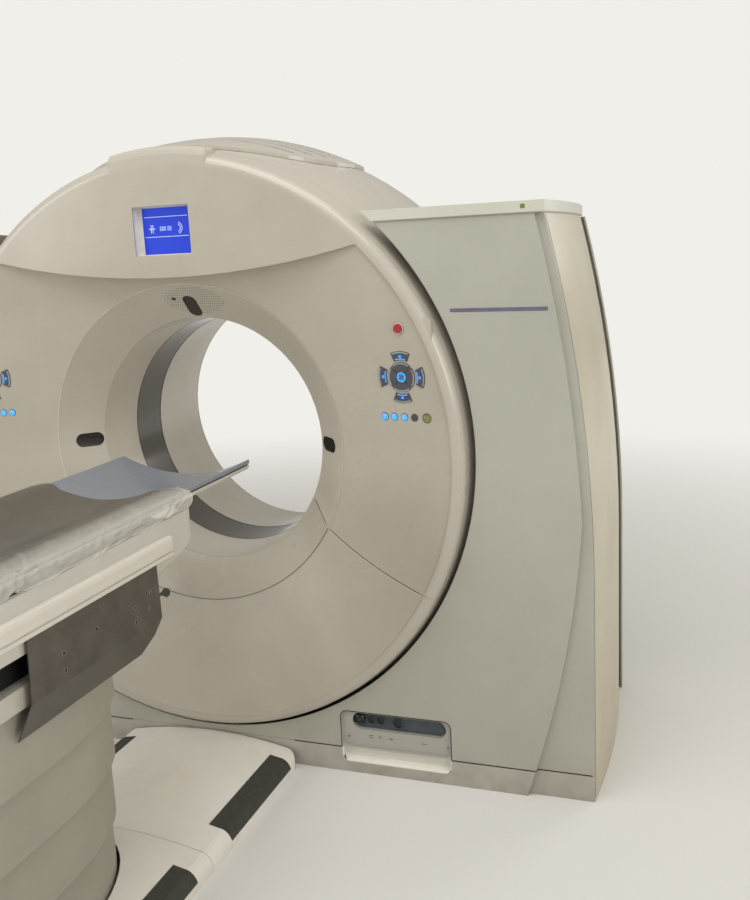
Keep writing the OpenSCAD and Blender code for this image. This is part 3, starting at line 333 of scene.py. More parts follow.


# Crease: the circle where the funnel starts. Along the lower cover it is a dark shut line
# with a rubber cord in it. Round the rest of the circle a bright strip is a painted highlight.
crossing = min(split, key=lambda spot: abs(math.hypot(spot[0].x, spot[0].z - AXIS_Z) - SEAM_R))[0]
split_angle = math.atan2(crossing.z - AXIS_Z, crossing.x)
for label, end, width, finish in (("below", -math.pi - split_angle, 0.0016, seam_rubber),
                                  ("above", math.pi - split_angle, 0.0018, painted_edge_highlight)):
    path = []
    for i in range(91):
        angle = split_angle + (end - split_angle) * i / 90
        outward = Vector((math.cos(angle), 0, math.sin(angle)))
        path.append((Vector((0, SEAM_Y, AXIS_Z)) + outward * SEAM_R,
                     (Vector((0, -1, 0)) - outward * 0.5).normalized()))
    piece(f"crease_{label}", *ribbon(path, width, CREASE_PROUD), finish, "ring", "ring_cover")


# Rim seams: over the ring's rounded rim, the seam between the covers runs on to the
# mantle. The same rubber cord lies in it.
RIM_ROUND, RIM_REACH, RIM_DEPTH = 0.03, 0.0305, 0.115
over_rim = []
for i in range(3, 13):
    inset = RIM_ROUND * (1 - math.sqrt(max(0.0, 1 - (1 - min(1.0, i / 3.2)) ** 2)))
    over_rim.append((FACE_Y + RIM_DEPTH * i / 12, EDGE_R + RIM_REACH - inset))
for side, word in ((-1, "left"), (1, "right")):
    x, z = next(spot for spot in (on_split(side, i / 399) for i in range(400))
                if math.hypot(spot[0], spot[1] - RING_Z) >= EDGE_R + 0.006)
    outward = Vector((x, 0, z - RING_Z)).normalized()
    path = [(Vector((0, depth, RING_Z)) + outward * reach, outward) for depth, reach in over_rim]
    piece(f"rim_seam_{word}", *ribbon(path, SEAM_WIDTH, 0.0006), seam_rubber, "ring",
          "ring_cover")


# Display: a small screen in a white moulded bezel, sunk into the brow. It shows two thin
# lines with plain marks between them.
bezel_plastic = painted("moulded_abs_white", "#E6E2D8", 0.4, grain=0.0012, depth=0.0001)
dress(bezel_plastic, "display_bezel")


def lit(name, colour, glow, strength, roughness):
    """A clear plastic face with a lamp behind it: its own colour, and its glow."""
    material = bare_material(name)
    show(material, add(material, "BsdfPrincipled", {
        "Base Color": linear(colour), "Roughness": roughness, "Emission Color": linear(glow),
        "Emission Strength": strength}).outputs[0])
    return material


dress(lit("lit_screen_blue", "#1B37B4", "#1E3FD0", 0.45, 0.25), "display_screen")
screen_white = lit("lit_screen_white", "#B9C8F2", "#AFC2FF", 0.55, 0.3)
screen_low, screen_high = (Vector(corner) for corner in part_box("display_screen"))
SCREEN_Y = screen_low.y - 0.0005


def flat_marks(boxes, y):
    """Points and faces of flat upright marks, each given as left, low, right and high."""
    points, faces = [], []
    for left, low, right, high in boxes:
        start = len(points)
        points += [Vector((left, y, low)), Vector((right, y, low)),
                   Vector((right, y, high)), Vector((left, y, high))]
        faces.append((start, start + 1, start + 2, start + 3))
    return points, faces


LINE_INSET, LINE_HIGH = 0.006, 0.0016
TALL, THIN = 0.012, 0.0012  # half the length and half the width of a mark's stroke
DIGIT_HALF, DIGIT_WIDE, DIGIT_LINE, DIGIT_PITCH = 0.006, 0.005, 0.0014, 0.0075
screen_h = screen_high.z - screen_low.z
mark_z = screen_high.z - 0.45 * screen_h
marks = []
for share in (0.2, 0.63):
    line_z = screen_high.z - share * screen_h
    marks.append((screen_low.x + LINE_INSET, line_z, screen_high.x - LINE_INSET,
                  line_z + LINE_HIGH))
for centre in (-0.052, -0.046):
    marks.append((centre - THIN, mark_z - TALL, centre + THIN, mark_z + TALL))
marks.append((-0.060, mark_z - THIN, -0.038, mark_z + THIN))
for start, bars in ((-0.022, 3), (0.004, 2)):  # two plain figures, as strokes
    for i in range(bars):
        left = start + i * DIGIT_PITCH
        right, low, high = left + DIGIT_WIDE, mark_z - DIGIT_HALF, mark_z + DIGIT_HALF
        marks += [(left, low, left + DIGIT_LINE, high), (left, high - DIGIT_LINE, right, high),
                  (right - DIGIT_LINE, low, right, high), (left, low, right, low + DIGIT_LINE)]
points, faces = flat_marks(marks, SCREEN_Y)
ARC_X = 0.036
for reach in (0.011, 0.017):  # a plain arc of two strokes
    start = len(points)
    for i in range(17):
        angle = math.radians(-70 + 140 * i / 16)
        for thick in (-0.0011, 0.0011):
            points.append(Vector((ARC_X + (reach + thick) * math.cos(angle), SCREEN_Y,
                                  mark_z + (reach + thick) * math.sin(angle))))
        if i:
            faces.append((start + 2 * i - 2, start + 2 * i - 1, start + 2 * i + 1, start + 2 * i))
piece("screen_marks", points, faces, screen_white, "ring", "screen")


# Intercom: holes drilled in the top of the funnel over a loudspeaker, with a larger one
# for the microphone. They are drawn as flat discs, whose dark colour is painted shade of
# the holes' insides.
def disc(points, faces, centre, normal, radius, corners=8):
    """Adds a flat disc that faces along normal."""
    across = normal.orthogonal().normalized()
    along = normal.cross(across)
    start = len(points)
    points += [centre + radius * (math.cos(math.tau * i / corners) * across
                                  + math.sin(math.tau * i / corners) * along)
               for i in range(corners)]
    faces.append(tuple(range(start, start + corners)))


HOLE_PITCH, HOLE_R = 0.0072, 0.0017
HOLES_X, HOLES_Z = -0.080, AXIS_Z + 0.412
PATCH_X, PATCH_Z, PATCH_HALF_WIDE, PATCH_HALF_HIGH = 0.022, 0.452, 0.105, 0.043
points, faces = [], []
for row in range(12):
    for column in range(30):
        x = HOLES_X + (column + 0.5 * (row % 2)) * HOLE_PITCH
        z = HOLES_Z + row * HOLE_PITCH
        if math.hypot((x - PATCH_X) / PATCH_HALF_WIDE,
                      (z - AXIS_Z - PATCH_Z) / PATCH_HALF_HIGH) <= 1:
            point, normal = on_face(x, z)
            disc(points, faces, point + normal * 0.0003, normal, HOLE_R)
point, normal = on_face(-0.049, AXIS_Z + 0.459)
disc(points, faces, point + normal * 0.0005, normal, 0.007, 20)
# The discs' dark colour is painted shade inside the holes.
hole_painted_shade = painted("intercom_hole_painted_shade", "#4A443B", 0.9)
piece("intercom_holes", points, faces, hole_painted_shade, "ring", "ring_cover", False)


# Light windows and the scan window: smoked acrylic slots for the positioning lasers, and a
# brown polyester film, 3 mm thick, that the rays pass through. A rubber cord seals each of
# the film's edges.
def mottled(material, first, second, size, detail=5.0):
    """The material's place, and two colours clouded over it in patches of this size."""
    place = add(material, "TexCoord").outputs["Object"]
    cloud = add(material, "TexNoise", {"Vector": place, "Scale": 1 / size, "Detail": detail})
    tint = add(material, "Mix", {0: cloud.outputs[0], 6: linear(first), 7: linear(second)},
               data_type="RGBA")
    return place, tint.outputs[2]


smoked = bare_material("smoked_acrylic")
show(smoked, add(smoked, "BsdfPrincipled", {
    "Base Color": linear("#2B2723"), "Roughness": 0.12, "IOR": 1.49,
    "Coat Weight": 0.6}).outputs[0])
dress(smoked, "laser_windows")
film = bare_material("polyester_film_brown")
_, film_tint = mottled(film, "#4E4435", "#3A3226", 0.25, 2.0)
show(film, add(film, "BsdfPrincipled", {
    "Base Color": film_tint, "Roughness": 0.2, "IOR": 1.6,
    "Coat Weight": 0.3, "Coat Roughness": 0.08}).outputs[0])
dress(film, "scan_window")
WINDOW_HALF, BORE_R = 0.077, 0.390
for word, y in (("front", -WINDOW_HALF), ("rear", WINDOW_HALF)):
    path = []
    for i in range(129):
        angle = math.tau * i / 128
        inward = Vector((-math.cos(angle), 0, -math.sin(angle)))
        path.append((Vector((0, y, AXIS_Z)) - inward * BORE_R, inward))
    piece(f"window_edge_{word}", *ribbon(path, 0.0026, 0.0006), seam_rubber, "ring",
          "ring_cover")


# Key pads: dark grey rubber keys in the cover. The lit ones glow blue from below, the outer
# arrows have silver edges, and the stop button sits in a white collar.
key_rubber = painted("silicone_rubber_grey", "#55525A", 0.4, grain=0.0008, depth=0.0001)
dress(key_rubber, "keypad_left", "keypad_right")
stop_plastic = painted("moulded_abs_red", "#B01322", 0.25, coat=0.5)
dress(stop_plastic, "stop_button_left", "stop_button_right")
key_glow = lit("lit_key_blue", "#3FA0F0", "#2F9BFF", 0.7, 0.3)
key_silver = painted("printed_silver", "#A9B4BE", 0.3, 0.4)
lamp_olive = painted("lamp_lens_olive", "#8C8A2E", 0.25, coat=0.5)
collar_white = painted("moulded_abs_collar", "#E2DED6", 0.35)
PAD_X, PAD_Z = 0.716, 0.223
PRINT_LIFT = 0.0028  # just over the tops of the keys
KEY_ROW, LAMP_X, STOP_ROW = -0.116, 0.073, 0.138


def arc_band(points, faces, middle, inner, outer, start_a, end_a, lift, steps=24):
    """Adds a flat piece of a ring in the pad's own plane."""
    first = len(points)
    for i in range(steps + 1):
        angle = math.radians(start_a + (end_a - start_a) * i / steps)
        for reach in (inner, outer):
            points.append(Vector((middle[0] + reach * math.cos(angle),
                                  middle[1] + reach * math.sin(angle), lift)))
        if i:
            faces.append((first + 2 * i - 2, first + 2 * i - 1, first + 2 * i + 1, first + 2 * i))


pad_angle = math.atan2(PAD_Z, PAD_X)
dish_lean = math.atan((SEAM_Y - FACE_Y) / (DISH_R - SEAM_R))
pad_centre, _ = on_face(PAD_X, AXIS_Z + PAD_Z)
pad_turn = (Matrix.Rotation(-pad_angle, 4, "Y") @ Matrix.Rotation(math.pi / 2, 4, "X")
            @ Matrix.Rotation(-dish_lean, 4, "Y") @ Matrix.Rotation(-pad_angle, 4, "Z"))
for side, word in ((1, "right"), (-1, "left")):
    at_pad = Matrix.Translation(pad_centre) @ pad_turn
    if side < 0:
        at_pad = Matrix.Diagonal((-1, 1, 1, 1)) @ at_pad
    glow, silver, olive, collar = ([], []), ([], []), ([], []), ([], [])
    top, over_top = PRINT_LIFT, PRINT_LIFT + 0.0002
    arc_band(*glow, (0, 0), 0.0095, 0.0142, 0, 360, top)
    for a in range(0, 360, 90):
        arc_band(*glow, (0, 0), 0.0025, 0.0075, a - 14, a + 14, top, 4)
        arc_band(*silver, (0, 0), 0.0375, 0.0412, a - 36, a + 36, top)
        arc_band(*silver, (0, 0), 0.0685, 0.0722, a - 21, a + 21, top)
        arc_band(*glow, (0, 0), 0.0505, 0.0535, a - 18, a + 18, top)
        arc_band(*glow, (0, 0), 0.056, 0.062, a - 4, a + 4, top, 4)
    for i, x in enumerate((-0.062, -0.031, 0.002)):
        arc_band(*glow, (x, KEY_ROW), 0.0, 0.0102, 0, 360, top)
        arc_band(*collar, (x, KEY_ROW), 0.003, 0.0042, 90 * i, 90 * i + 300, over_top, 12)
        arc_band(*collar, (x, KEY_ROW), 0.0062, 0.0074, 30 * i, 30 * i + 150, over_top, 12)
    arc_band(*olive, (LAMP_X, KEY_ROW), 0.0, 0.0128, 0, 360, top)
    for a in (30, 150, 270):
        arc_band(*silver, (LAMP_X, KEY_ROW), 0.003, 0.009, a - 24, a + 24, over_top, 6)
    arc_band(*collar, (0, STOP_ROW), 0.0136, 0.0178, 0, 360, top)
    for label, (points, faces), finish in (
            ("glow", glow, key_glow), ("silver", silver, key_silver),
            ("lamp", olive, lamp_olive), ("collar", collar, collar_white)):
        piece(f"key_{label}_{word}", [at_pad @ p for p in points], faces, finish, "ring",
              "key_plastic", False)


# Stand: the same moulded shells in a cooler, satin grey-white. The side panels face the
# windows and have yellowed, and a dark gasket lies in the joints.
stand_lacquer = lacquered("polyurethane_lacquer_grey_white", "#BBBAAD", "#B1B0A2", 0.42, 0.15,
                          grime=0.3)
dress(stand_lacquer, "stand_front_left", "stand_front_right", "stand_rear_left",
      "stand_rear_right")
cap_lacquer = lacquered("polyurethane_lacquer_cap", "#D6D4C7", "#CDCBBD", 0.42, 0.15)
dress(cap_lacquer, "stand_cap_left", "stand_cap_right")
plinth_lacquer = lacquered("polyurethane_lacquer_plinth", "#C8C4BA", "#BEB9AE", 0.42, 0.12,
                           grime=0.7)
dress(plinth_lacquer, "plinth_front", "plinth_rear")
side_lacquer = lacquered("polyurethane_lacquer_yellowed", "#C7BFA5", "#BEB499", 0.4, 0.2,
                         grime=0.3)
dress(side_lacquer, "stand_side_left", "stand_side_right")
dress(painted("galvanised_steel", "#9A9DA0", 0.45, 0.85, 0.004), "cover_brackets", "base_frame",
      "table_base_frame")
dress(painted("powder_coated_steel_grey", "#7E8488", 0.55, 0.0, 0.0015, 0.0002),
      "upright_left", "upright_right", "tilt_frame")
dress(painted("ground_bearing_steel", "#B8BABD", 0.25, 1.0, 0.0008), "tilt_bearings",
      "trunnion_pins", "main_bearing")
dress(painted("enamelled_gearbox", "#3F464D", 0.4, 0.1, 0.002, 0.0002, 0.3), "tilt_gear_unit")

front_low, front_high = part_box("stand_front_right")
side_low, side_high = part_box("stand_side_right")
PLINTH_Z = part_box("plinth_front")[1][2]
socket_low, socket_high = (Vector(c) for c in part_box("socket_panel"))


def seam_on(names, start, end, way, count):
    """A seam's points: rays from start to end, sent along way, onto the first surface."""
    path = []
    for i in range(count + 1):
        origin = Vector(start).lerp(Vector(end), i / count)
        hits = [nodes[name].ray_cast(origin, way) for name in names]
        spots = [((spot - origin).length, spot, normal) for hit, spot, normal, _ in hits if hit]
        if spots:
            _, spot, normal = min(spots, key=lambda found: found[0])
            path.append((spot, normal if normal.dot(way) < 0 else -normal))
    return path


INWARDS = Vector((0, 1, 0))
BEFORE_Y = -1.0  # in front of the stand, where rays onto it start
PLINTH_SEAM_X, BESIDE_X = 0.30, 2.0
for word, side in (("right", 1), ("left", -1)):
    spans = [(PLINTH_SEAM_X, front_high[0])]
    if side > 0:
        spans = [(PLINTH_SEAM_X, socket_low.x - 0.001), (socket_high.x + 0.001, front_high[0])]
    covers = (f"stand_front_{word}", "plinth_front", f"stand_side_{word}")
    for number, (near, far) in enumerate(spans):
        path = seam_on(covers, (side * near, BEFORE_Y, PLINTH_Z - 0.0004),
                       (side * far, BEFORE_Y, PLINTH_Z - 0.0004), INWARDS, 60)
        piece(f"plinth_seam_{word}_{number}", *ribbon(path, 0.0034, 0.0006), seam_rubber,
              "stand", "stand_cover")
    side_y = side_low[1] + 0.0012
    path = seam_on(covers, (side * BESIDE_X, side_y, 0.012),
                   (side * BESIDE_X, side_y, side_high[2] - 0.004), Vector((-side, 0, 0)), 60)
    piece(f"side_seam_{word}", *ribbon(path, 0.0026, 0.0006), seam_rubber, "stand",
          "side_cover")
    # A pale strip beside the side seam is a painted highlight on the cover's edge.
    shifted = [(point + Vector((0, 0.0028, 0)), normal) for point, normal in path]
    piece(f"side_edge_highlight_{word}", *ribbon(shifted, 0.0018, 0.0006), painted_edge_highlight, "stand",
          "side_cover")


# Printed marks: one plain grey-violet bar on the right stand and a small green mark on its
# cap. Both are screen-printed on the lacquer.
BAR_START, BAR_END = (0.862, BEFORE_Y, 1.4325), (1.130, BEFORE_Y, 1.4305)
MARK_X, MARK_SIZE, MARK_BELOW_CAP = 1.062, 0.012, 0.014
bar_ink = painted("printed_ink_grey_violet", "#6E6A80", 0.5)
path = seam_on(("stand_front_right", "plinth_front", "stand_side_right"), BAR_START, BAR_END,
               INWARDS, 12)
piece("printed_bar", *ribbon(path, 0.0105, 0.0005), bar_ink, "stand", "stand_cover")
mark_green = painted("printed_green_dot", "#6E8A2E", 0.5)
cap_mark_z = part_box("stand_cap_right")[1][2] - MARK_BELOW_CAP
path = seam_on(("stand_cap_right",), (MARK_X, BEFORE_Y, cap_mark_z),
               (MARK_X + MARK_SIZE, BEFORE_Y, cap_mark_z), INWARDS, 2)
piece("cap_mark", *ribbon(path, 0.011, 0.0005), mark_green, "stand", "stand_cover")


# Socket tray: grey moulded ABS with a dark insert in its slot. The insert holds a black
# block and three round sockets, and plain pictograms stand below it. The scoop below the
# plinth's edge is painted lighter and the panel above it darker: painted light and shade.
tray_plastic = bare_material("moulded_abs_tray_painted_light")
tray_place = add(tray_plastic, "TexCoord").outputs["Object"]
tray_parts = add(tray_plastic, "SeparateXYZ", {0: tray_place})
# Below the plinth's edge the tray is painted light, as if lit from above, and above it painted
# shade.
tray_scoop_painted_light = add(tray_plastic, "MapRange", {"Value": tray_parts.outputs[2],
                                            "From Min": PLINTH_Z - 0.004,
                                            "From Max": PLINTH_Z + 0.004})
tray_grey_and_painted_light = add(tray_plastic, "Mix", {0: tray_scoop_painted_light.outputs[0], 6: linear("#EFEBE0"),
                                      7: linear("#B1AFA6")}, data_type="RGBA")
show(tray_plastic, add(tray_plastic, "BsdfPrincipled", {
    "Base Color": tray_grey_and_painted_light.outputs[2], "Roughness": 0.42,
    "Normal": grained(tray_plastic, tray_place, 0.0012, 0.2, 0.0002)}).outputs[0])
dress(tray_plastic, "socket_panel")
TRAY_CORNER = 0.022
tray_line = [(socket_low.x, PLINTH_Z)]
for middle_x, start in ((socket_low.x + TRAY_CORNER, 180), (socket_high.x - TRAY_CORNER, 90)):
    for i in range(9):
        angle = math.radians(start - 90 * i / 8)
        tray_line.append((middle_x + TRAY_CORNER * math.cos(angle),
                          socket_high.z - TRAY_CORNER + TRAY_CORNER * math.sin(angle)))
tray_line.append((socket_high.x, PLINTH_Z))
path = [(Vector((x, front_low[1], z)), Vector((0, -1, 0))) for x, z in tray_line]
piece("tray_groove", *ribbon(path, 0.0026, 0.0008), seam_rubber, "stand", "socket_tray")
insert_dark = painted("moulded_abs_slate", "#4C535A", 0.35, grain=0.001, depth=0.0002)
socket_black = painted("socket_black", "#121315", 0.35, coat=0.3)
SLOT_MID = Vector(((socket_low.x + socket_high.x) / 2 + 0.010, 0, 0.173))
SLOT_FLOOR_Y = socket_low.y + 0.022


def stadium(middle, width, height, y, corners=12):
    """Outline of a slot with round ends, seen from the front."""
    outline = []
    half = width / 2 - height / 2
    for side, start in ((1, -90), (-1, 90)):
        for i in range(corners + 1):
            angle = math.radians(start + 180 * i / corners)
            outline.append(Vector((middle.x + side * half + height / 2 * math.cos(angle), y,
                                   middle.z + height / 2 * math.sin(angle))))
    return outline


outline = stadium(SLOT_MID, 0.298, 0.052, SLOT_FLOOR_Y - 0.0012)
piece("socket_insert", outline, [tuple(range(len(outline)))], insert_dark, "stand",
      "socket_tray", False)


def turned_rim(points, faces, middle, across, outward, profile, steps):
    """Adds a turned rim round middle. profile has three radii with heights along outward."""
    first = len(points)
    for i in range(steps + 1):
        angle = math.tau * i / steps
        spoke = math.cos(angle) * across + math.sin(angle) * Vector((0, 0, 1))
        points += [middle + reach * spoke + rise * outward for reach, rise in profile]
        if i:
            for k in range(2):
                a = first + 3 * (i - 1) + k
                faces.append((a, a + 1, a + 4, a + 3))


TOWARDS_ROOM = Vector((0, -1, 0))
SOCKETS = ((0.560, 0.176, 0.013), (0.590, 0.176, 0.013), (0.646, 0.172, 0.015))  # x, z, radius
points, faces = [], []
for x, z, radius in SOCKETS:
    disc(points, faces, Vector((x, SLOT_FLOOR_Y - 0.0016, z)), TOWARDS_ROOM, radius, 24)
piece("socket_holes", points, faces, socket_black, "stand", "socket_tray", False)
points, faces = [], []
for x, z, radius in SOCKETS:
    turned_rim(points, faces, Vector((x, SLOT_FLOOR_Y, z)), Vector((1, 0, 0)), TOWARDS_ROOM,
               ((radius, 0.0016), (radius + 0.001, 0.008), (radius + 0.003, 0.0016)), 24)
piece("socket_rims", points, faces, insert_dark, "stand", "socket_tray")
block = bmesh.new()
bmesh.ops.create_cube(block, size=1.0)
bmesh.ops.scale(block, vec=(0.034, 0.010, 0.030), verts=block.verts)
bmesh.ops.translate(block, vec=(0.521, SLOT_FLOOR_Y - 0.0062, 0.178), verts=block.verts)
bmesh.ops.bevel(block, geom=block.edges, offset=0.002, segments=2, affect="EDGES")
block_points = [v.co.copy() for v in block.verts]
block_faces = [tuple(v.index for v in f.verts) for f in block.faces]
block.free()
piece("socket_block", block_points, block_faces, socket_black, "stand", "socket_tray")
PRINT_X, PRINT_Z, STROKE = 0.556, 0.119, 0.0015
STROKES = (  # left and low from the first mark's corner, width, height
    (0.000, 0.000, 0.012, STROKE), (0.000, 0.008, 0.012, STROKE), (0.000, 0.000, STROKE, 0.009),
    (0.030, 0.000, STROKE, 0.011), (0.036, 0.000, STROKE, 0.011), (0.062, 0.003, 0.016, STROKE),
    (0.069, 0.000, STROKE, 0.008), (0.166, 0.000, 0.020, STROKE), (0.174, 0.004, STROKE, 0.006))
points, faces = flat_marks([(PRINT_X + left, PRINT_Z + low, PRINT_X + left + wide,
                             PRINT_Z + low + high) for left, low, wide, high in STROKES],
                           socket_low.y + 0.0076)
piece("socket_pictograms", points, faces, socket_black, "stand", "socket_tray", False)
screw_steel = painted("zinc_plated_screw", "#8F8F8A", 0.35, 0.9)
points, faces = [], []
for x, z in ((0.487, 0.117), (0.808, 0.119)):
    disc(points, faces, Vector((x, socket_low.y + 0.0074, z)), TOWARDS_ROOM, 0.0042, 16)
piece("socket_screws", points, faces, screw_steel, "stand", "socket_tray", False)


# Rotor: cast aluminium drum with the painted generator boxes, the tube in its housing and
# the brass slip ring. It is closed in by the covers.
dress(painted("cast_aluminium", "#A7A9AB", 0.45, 0.9, 0.003, 0.0002), "rotor_drum")
dress(painted("enamelled_housing", "#C9C8C0", 0.4, 0.0, 0.002, 0.0001, 0.3), "xray_tube",
      "power_units")
dress(painted("lead_lined_black", "#2A2B2D", 0.6, 0.1, 0.002, 0.0002), "collimator")
dress(painted("anodised_aluminium_grey", "#6C7076", 0.4, 0.8, 0.001), "detector_arc")
dress(painted("turned_brass", "#B08A46", 0.3, 1.0, 0.0008), "slip_ring")


# Floor plates: cream lacquered covers over the cable duct. Shoes leave them grey at the
# edges, and ribbed rubber treads lie over their shoulders.
plate_lacquer = lacquered("lacquer_cream_floor_plates", "#F8F4EA", "#F0EBDF", 0.42, 0.1,
                          grime=0.18)
dress(plate_lacquer, "floor_plate_front", "floor_plate_rear")
RIB_PITCH = 0.006
tread = bare_material("ribbed_rubber_olive")
tread_place, tread_tint = mottled(tread, "#2F312B", "#4B4C42", 0.02)
tread_parts = add(tread, "SeparateXYZ", {0: tread_place})
tread_turns = add(tread, "Math", {0: tread_parts.outputs[0], 1: math.tau / RIB_PITCH},
                  operation="MULTIPLY")
tread_wave = add(tread, "Math", {0: tread_turns.outputs[0]}, operation="SINE")
tread_bump = add(tread, "Bump", {"Height": tread_wave.outputs[0], "Strength": 0.8,
                                 "Distance": 0.0006})
show(tread, add(tread, "BsdfPrincipled", {
    "Base Color": tread_tint, "Roughness": 0.75,
    "Normal": tread_bump.outputs[0]}).outputs[0])
dress(tread, "tread_strips")


# Column: four telescoping covers of grained ABS in beige. Each slides in the one above it,
# and a dark shadow gap shows at each lower edge. The mast inside is drawn steel tube.
column_abs = lacquered("grained_abs_beige", "#AEA99C", "#A39D8F", 0.52, 0.04, peel=0.2)
dress(column_abs, "column_cover_1", "column_cover_2", "column_cover_3", "column_cover_4")
platform_paint = lacquered("lacquer_platform", "#C9C4B6", "#BCB6A7", 0.4, 0.15)
dress(platform_paint, "lift_platform")
dress(painted("drawn_steel_tube", "#8D9093", 0.35, 0.9, 0.002), "mast_tube_1", "mast_tube_2",
      "mast_tube_3", "mast_tube_4")


# Bed: a lacquered aluminium trough with a moulded nose. White rails for clamps run along
# its sides, over the drive bay, whose near-black colour is painted shade of the gap.
bed_lacquer = lacquered("satin_lacquer_bed", "#D3D0C6", "#C8C4B8", 0.36, 0.25)
dress(bed_lacquer, "bed_frame")
rail_finish = lacquered("powder_coated_rail_white", "#E3DDD1", "#D8D2C5", 0.33, 0.2)
dress(rail_finish, "bed_rails")
# The drive bay's near-black colour is painted shade in the gap under the rails.
dress(painted("drive_bay_painted_shade", "#1C1C1E", 0.55, 0.0, 0.002, 0.0002), "drive_bay")


# Accessory plate: bent sheet steel in worn bronze-grey paint, with bright rims where
# screws have rubbed, and a small dark lever behind its end.
plate_paint = bare_material("worn_paint_on_steel")
wear_place = add(plate_paint, "TexCoord").outputs["Object"]
wear_cloud = add(plate_paint, "TexNoise", {"Vector": wear_place, "Scale": 1 / 0.07,
                                           "Detail": 8.0, "Roughness": 0.7})
wear_mix = add(plate_paint, "MapRange", {"Value": wear_cloud.outputs[0], "From Min": 0.35,
                                         "From Max": 0.7})
wear_tint = add(plate_paint, "Mix", {0: wear_mix.outputs[0], 6: linear("#58524A"),
                                     7: linear("#6C665C")}, data_type="RGBA")
wear_gloss = add(plate_paint, "MapRange", {"Value": wear_cloud.outputs[0], "From Min": 0.3,
                                           "From Max": 0.7, "To Min": 0.28, "To Max": 0.5})
show(plate_paint, add(plate_paint, "BsdfPrincipled", {
    "Base Color": wear_tint.outputs[2], "Roughness": wear_gloss.outputs[0],
    "Metallic": 0.4}).outputs[0])
dress(plate_paint, "accessory_plate")
bed_low, bed_high = (Vector(c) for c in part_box("bed_frame"))
PLATE_BEND_Z, PLATE_END_Y = bed_low.z - 0.105, -1.041
plate_face_x = bed_high.x + 0.011
SCREW_PLACES = (  # distance from the plate's end, height above its bend
    (0.039, 0.080), (0.047, 0.043), (0.109, 0.065), (0.109, 0.030), (0.259, 0.073),
    (0.379, 0.065), (0.379, 0.027))
points, faces = [], []
for back, rise in SCREW_PLACES:
    middle = Vector((plate_face_x, PLATE_END_Y - back, PLATE_BEND_Z + rise))
    turned_rim(points, faces, middle, Vector((0, 1, 0)), Vector((1, 0, 0)),
               ((0.0042, 0.0002), (0.0050, 0.0012), (0.0062, 0.0002)), 20)
piece("plate_hole_rims", points, faces, screw_steel, "bed", "plate_steel")
lever_nylon = painted("moulded_nylon_dark", "#3B3832", 0.4, grain=0.001, depth=0.0001)
LEVER_IN, LEVER_SIDES = 0.0055, 16
LEVER_STATIONS = (  # past the plate's end, height above its bend, half height, half width
    (-0.040, 0.060, 0.0035, 0.0030), (0.012, 0.056, 0.0040, 0.0030),
    (0.022, 0.055, 0.0055, 0.0034), (0.030, 0.054, 0.0105, 0.0042),
    (0.040, 0.051, 0.0130, 0.0046), (0.050, 0.049, 0.0105, 0.0042),
    (0.056, 0.048, 0.0040, 0.0022))
points, faces = [], [tuple(range(LEVER_SIDES))[::-1]]
for past, height, half_high, half_wide in LEVER_STATIONS:
    start = len(points)
    for k in range(LEVER_SIDES):
        angle = math.tau * k / LEVER_SIDES
        points.append(Vector((plate_face_x - LEVER_IN + half_wide * math.cos(angle),
                              PLATE_END_Y + past,
                              PLATE_BEND_Z + height + half_high * math.sin(angle))))
        if start:
            a, b = start - LEVER_SIDES + k, start - LEVER_SIDES + (k + 1) % LEVER_SIDES
            faces.append((a, b, b + LEVER_SIDES, a + LEVER_SIDES))
faces.append(tuple(range(start, start + LEVER_SIDES)))
piece("plate_lever", points, faces, lever_nylon, "bed", "plate_steel")


# Table top: carbon fibre shell under a blue-grey gel coat, with a white lip below the
# groove of its edge. A black strip in the groove is painted shade.
top_coat = bare_material("gel_coat_blue_grey")
top_place, top_tint = mottled(top_coat, "#8E939B", "#858A93", 0.2)
top_parts = add(top_coat, "SeparateXYZ", {0: top_place})
top_low, top_high = (Vector(c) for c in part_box("table_top"))
lip = add(top_coat, "MapRange", {"Value": top_parts.outputs[2], "From Min": top_high.z - 0.0155,
                                 "From Max": top_high.z - 0.0145, "To Min": 1.0, "To Max": 0.0})
edge_on = add(top_coat, "Math", {0: top_parts.outputs[0]}, operation="ABSOLUTE")
near_edge = add(top_coat, "MapRange", {"Value": edge_on.outputs[0], "From Min": 0.205,
                                       "From Max": 0.212})
lip_here = add(top_coat, "Math", {0: lip.outputs[0], 1: near_edge.outputs[0]},
               operation="MULTIPLY")
top_colour = add(top_coat, "Mix", {0: lip_here.outputs[0], 6: top_tint,
                                   7: linear("#D9D5CB")}, data_type="RGBA")
show(top_coat, add(top_coat, "BsdfPrincipled", {
    "Base Color": top_colour.outputs[2], "Roughness": 0.32, "Coat Weight": 0.3,
    "Coat Roughness": 0.12,
    "Normal": grained(top_coat, top_place, 0.002, 0.12, 0.0004)}).outputs[0])
dress(top_coat, "table_top")
# The black strip laid in each edge groove is painted shade.
groove_painted_shade = painted("groove_painted_shade_black", "#1A1A1C", 0.6)
for side, word in ((1, "right"), (-1, "left")):
    x = side * (top_high.x - 0.0055)
    z = top_high.z - 0.0150
    path = [(Vector((x, y, z)), Vector((side, 0, 0)))
            for y in (top_low.y + 0.002, (top_low.y + top_high.y) / 2, top_high.y - 0.002)]
    piece(f"edge_groove_shade_{word}", *ribbon(path, 0.0036, 0.0004), groove_painted_shade, "sliding_top",
          "top_laminate")


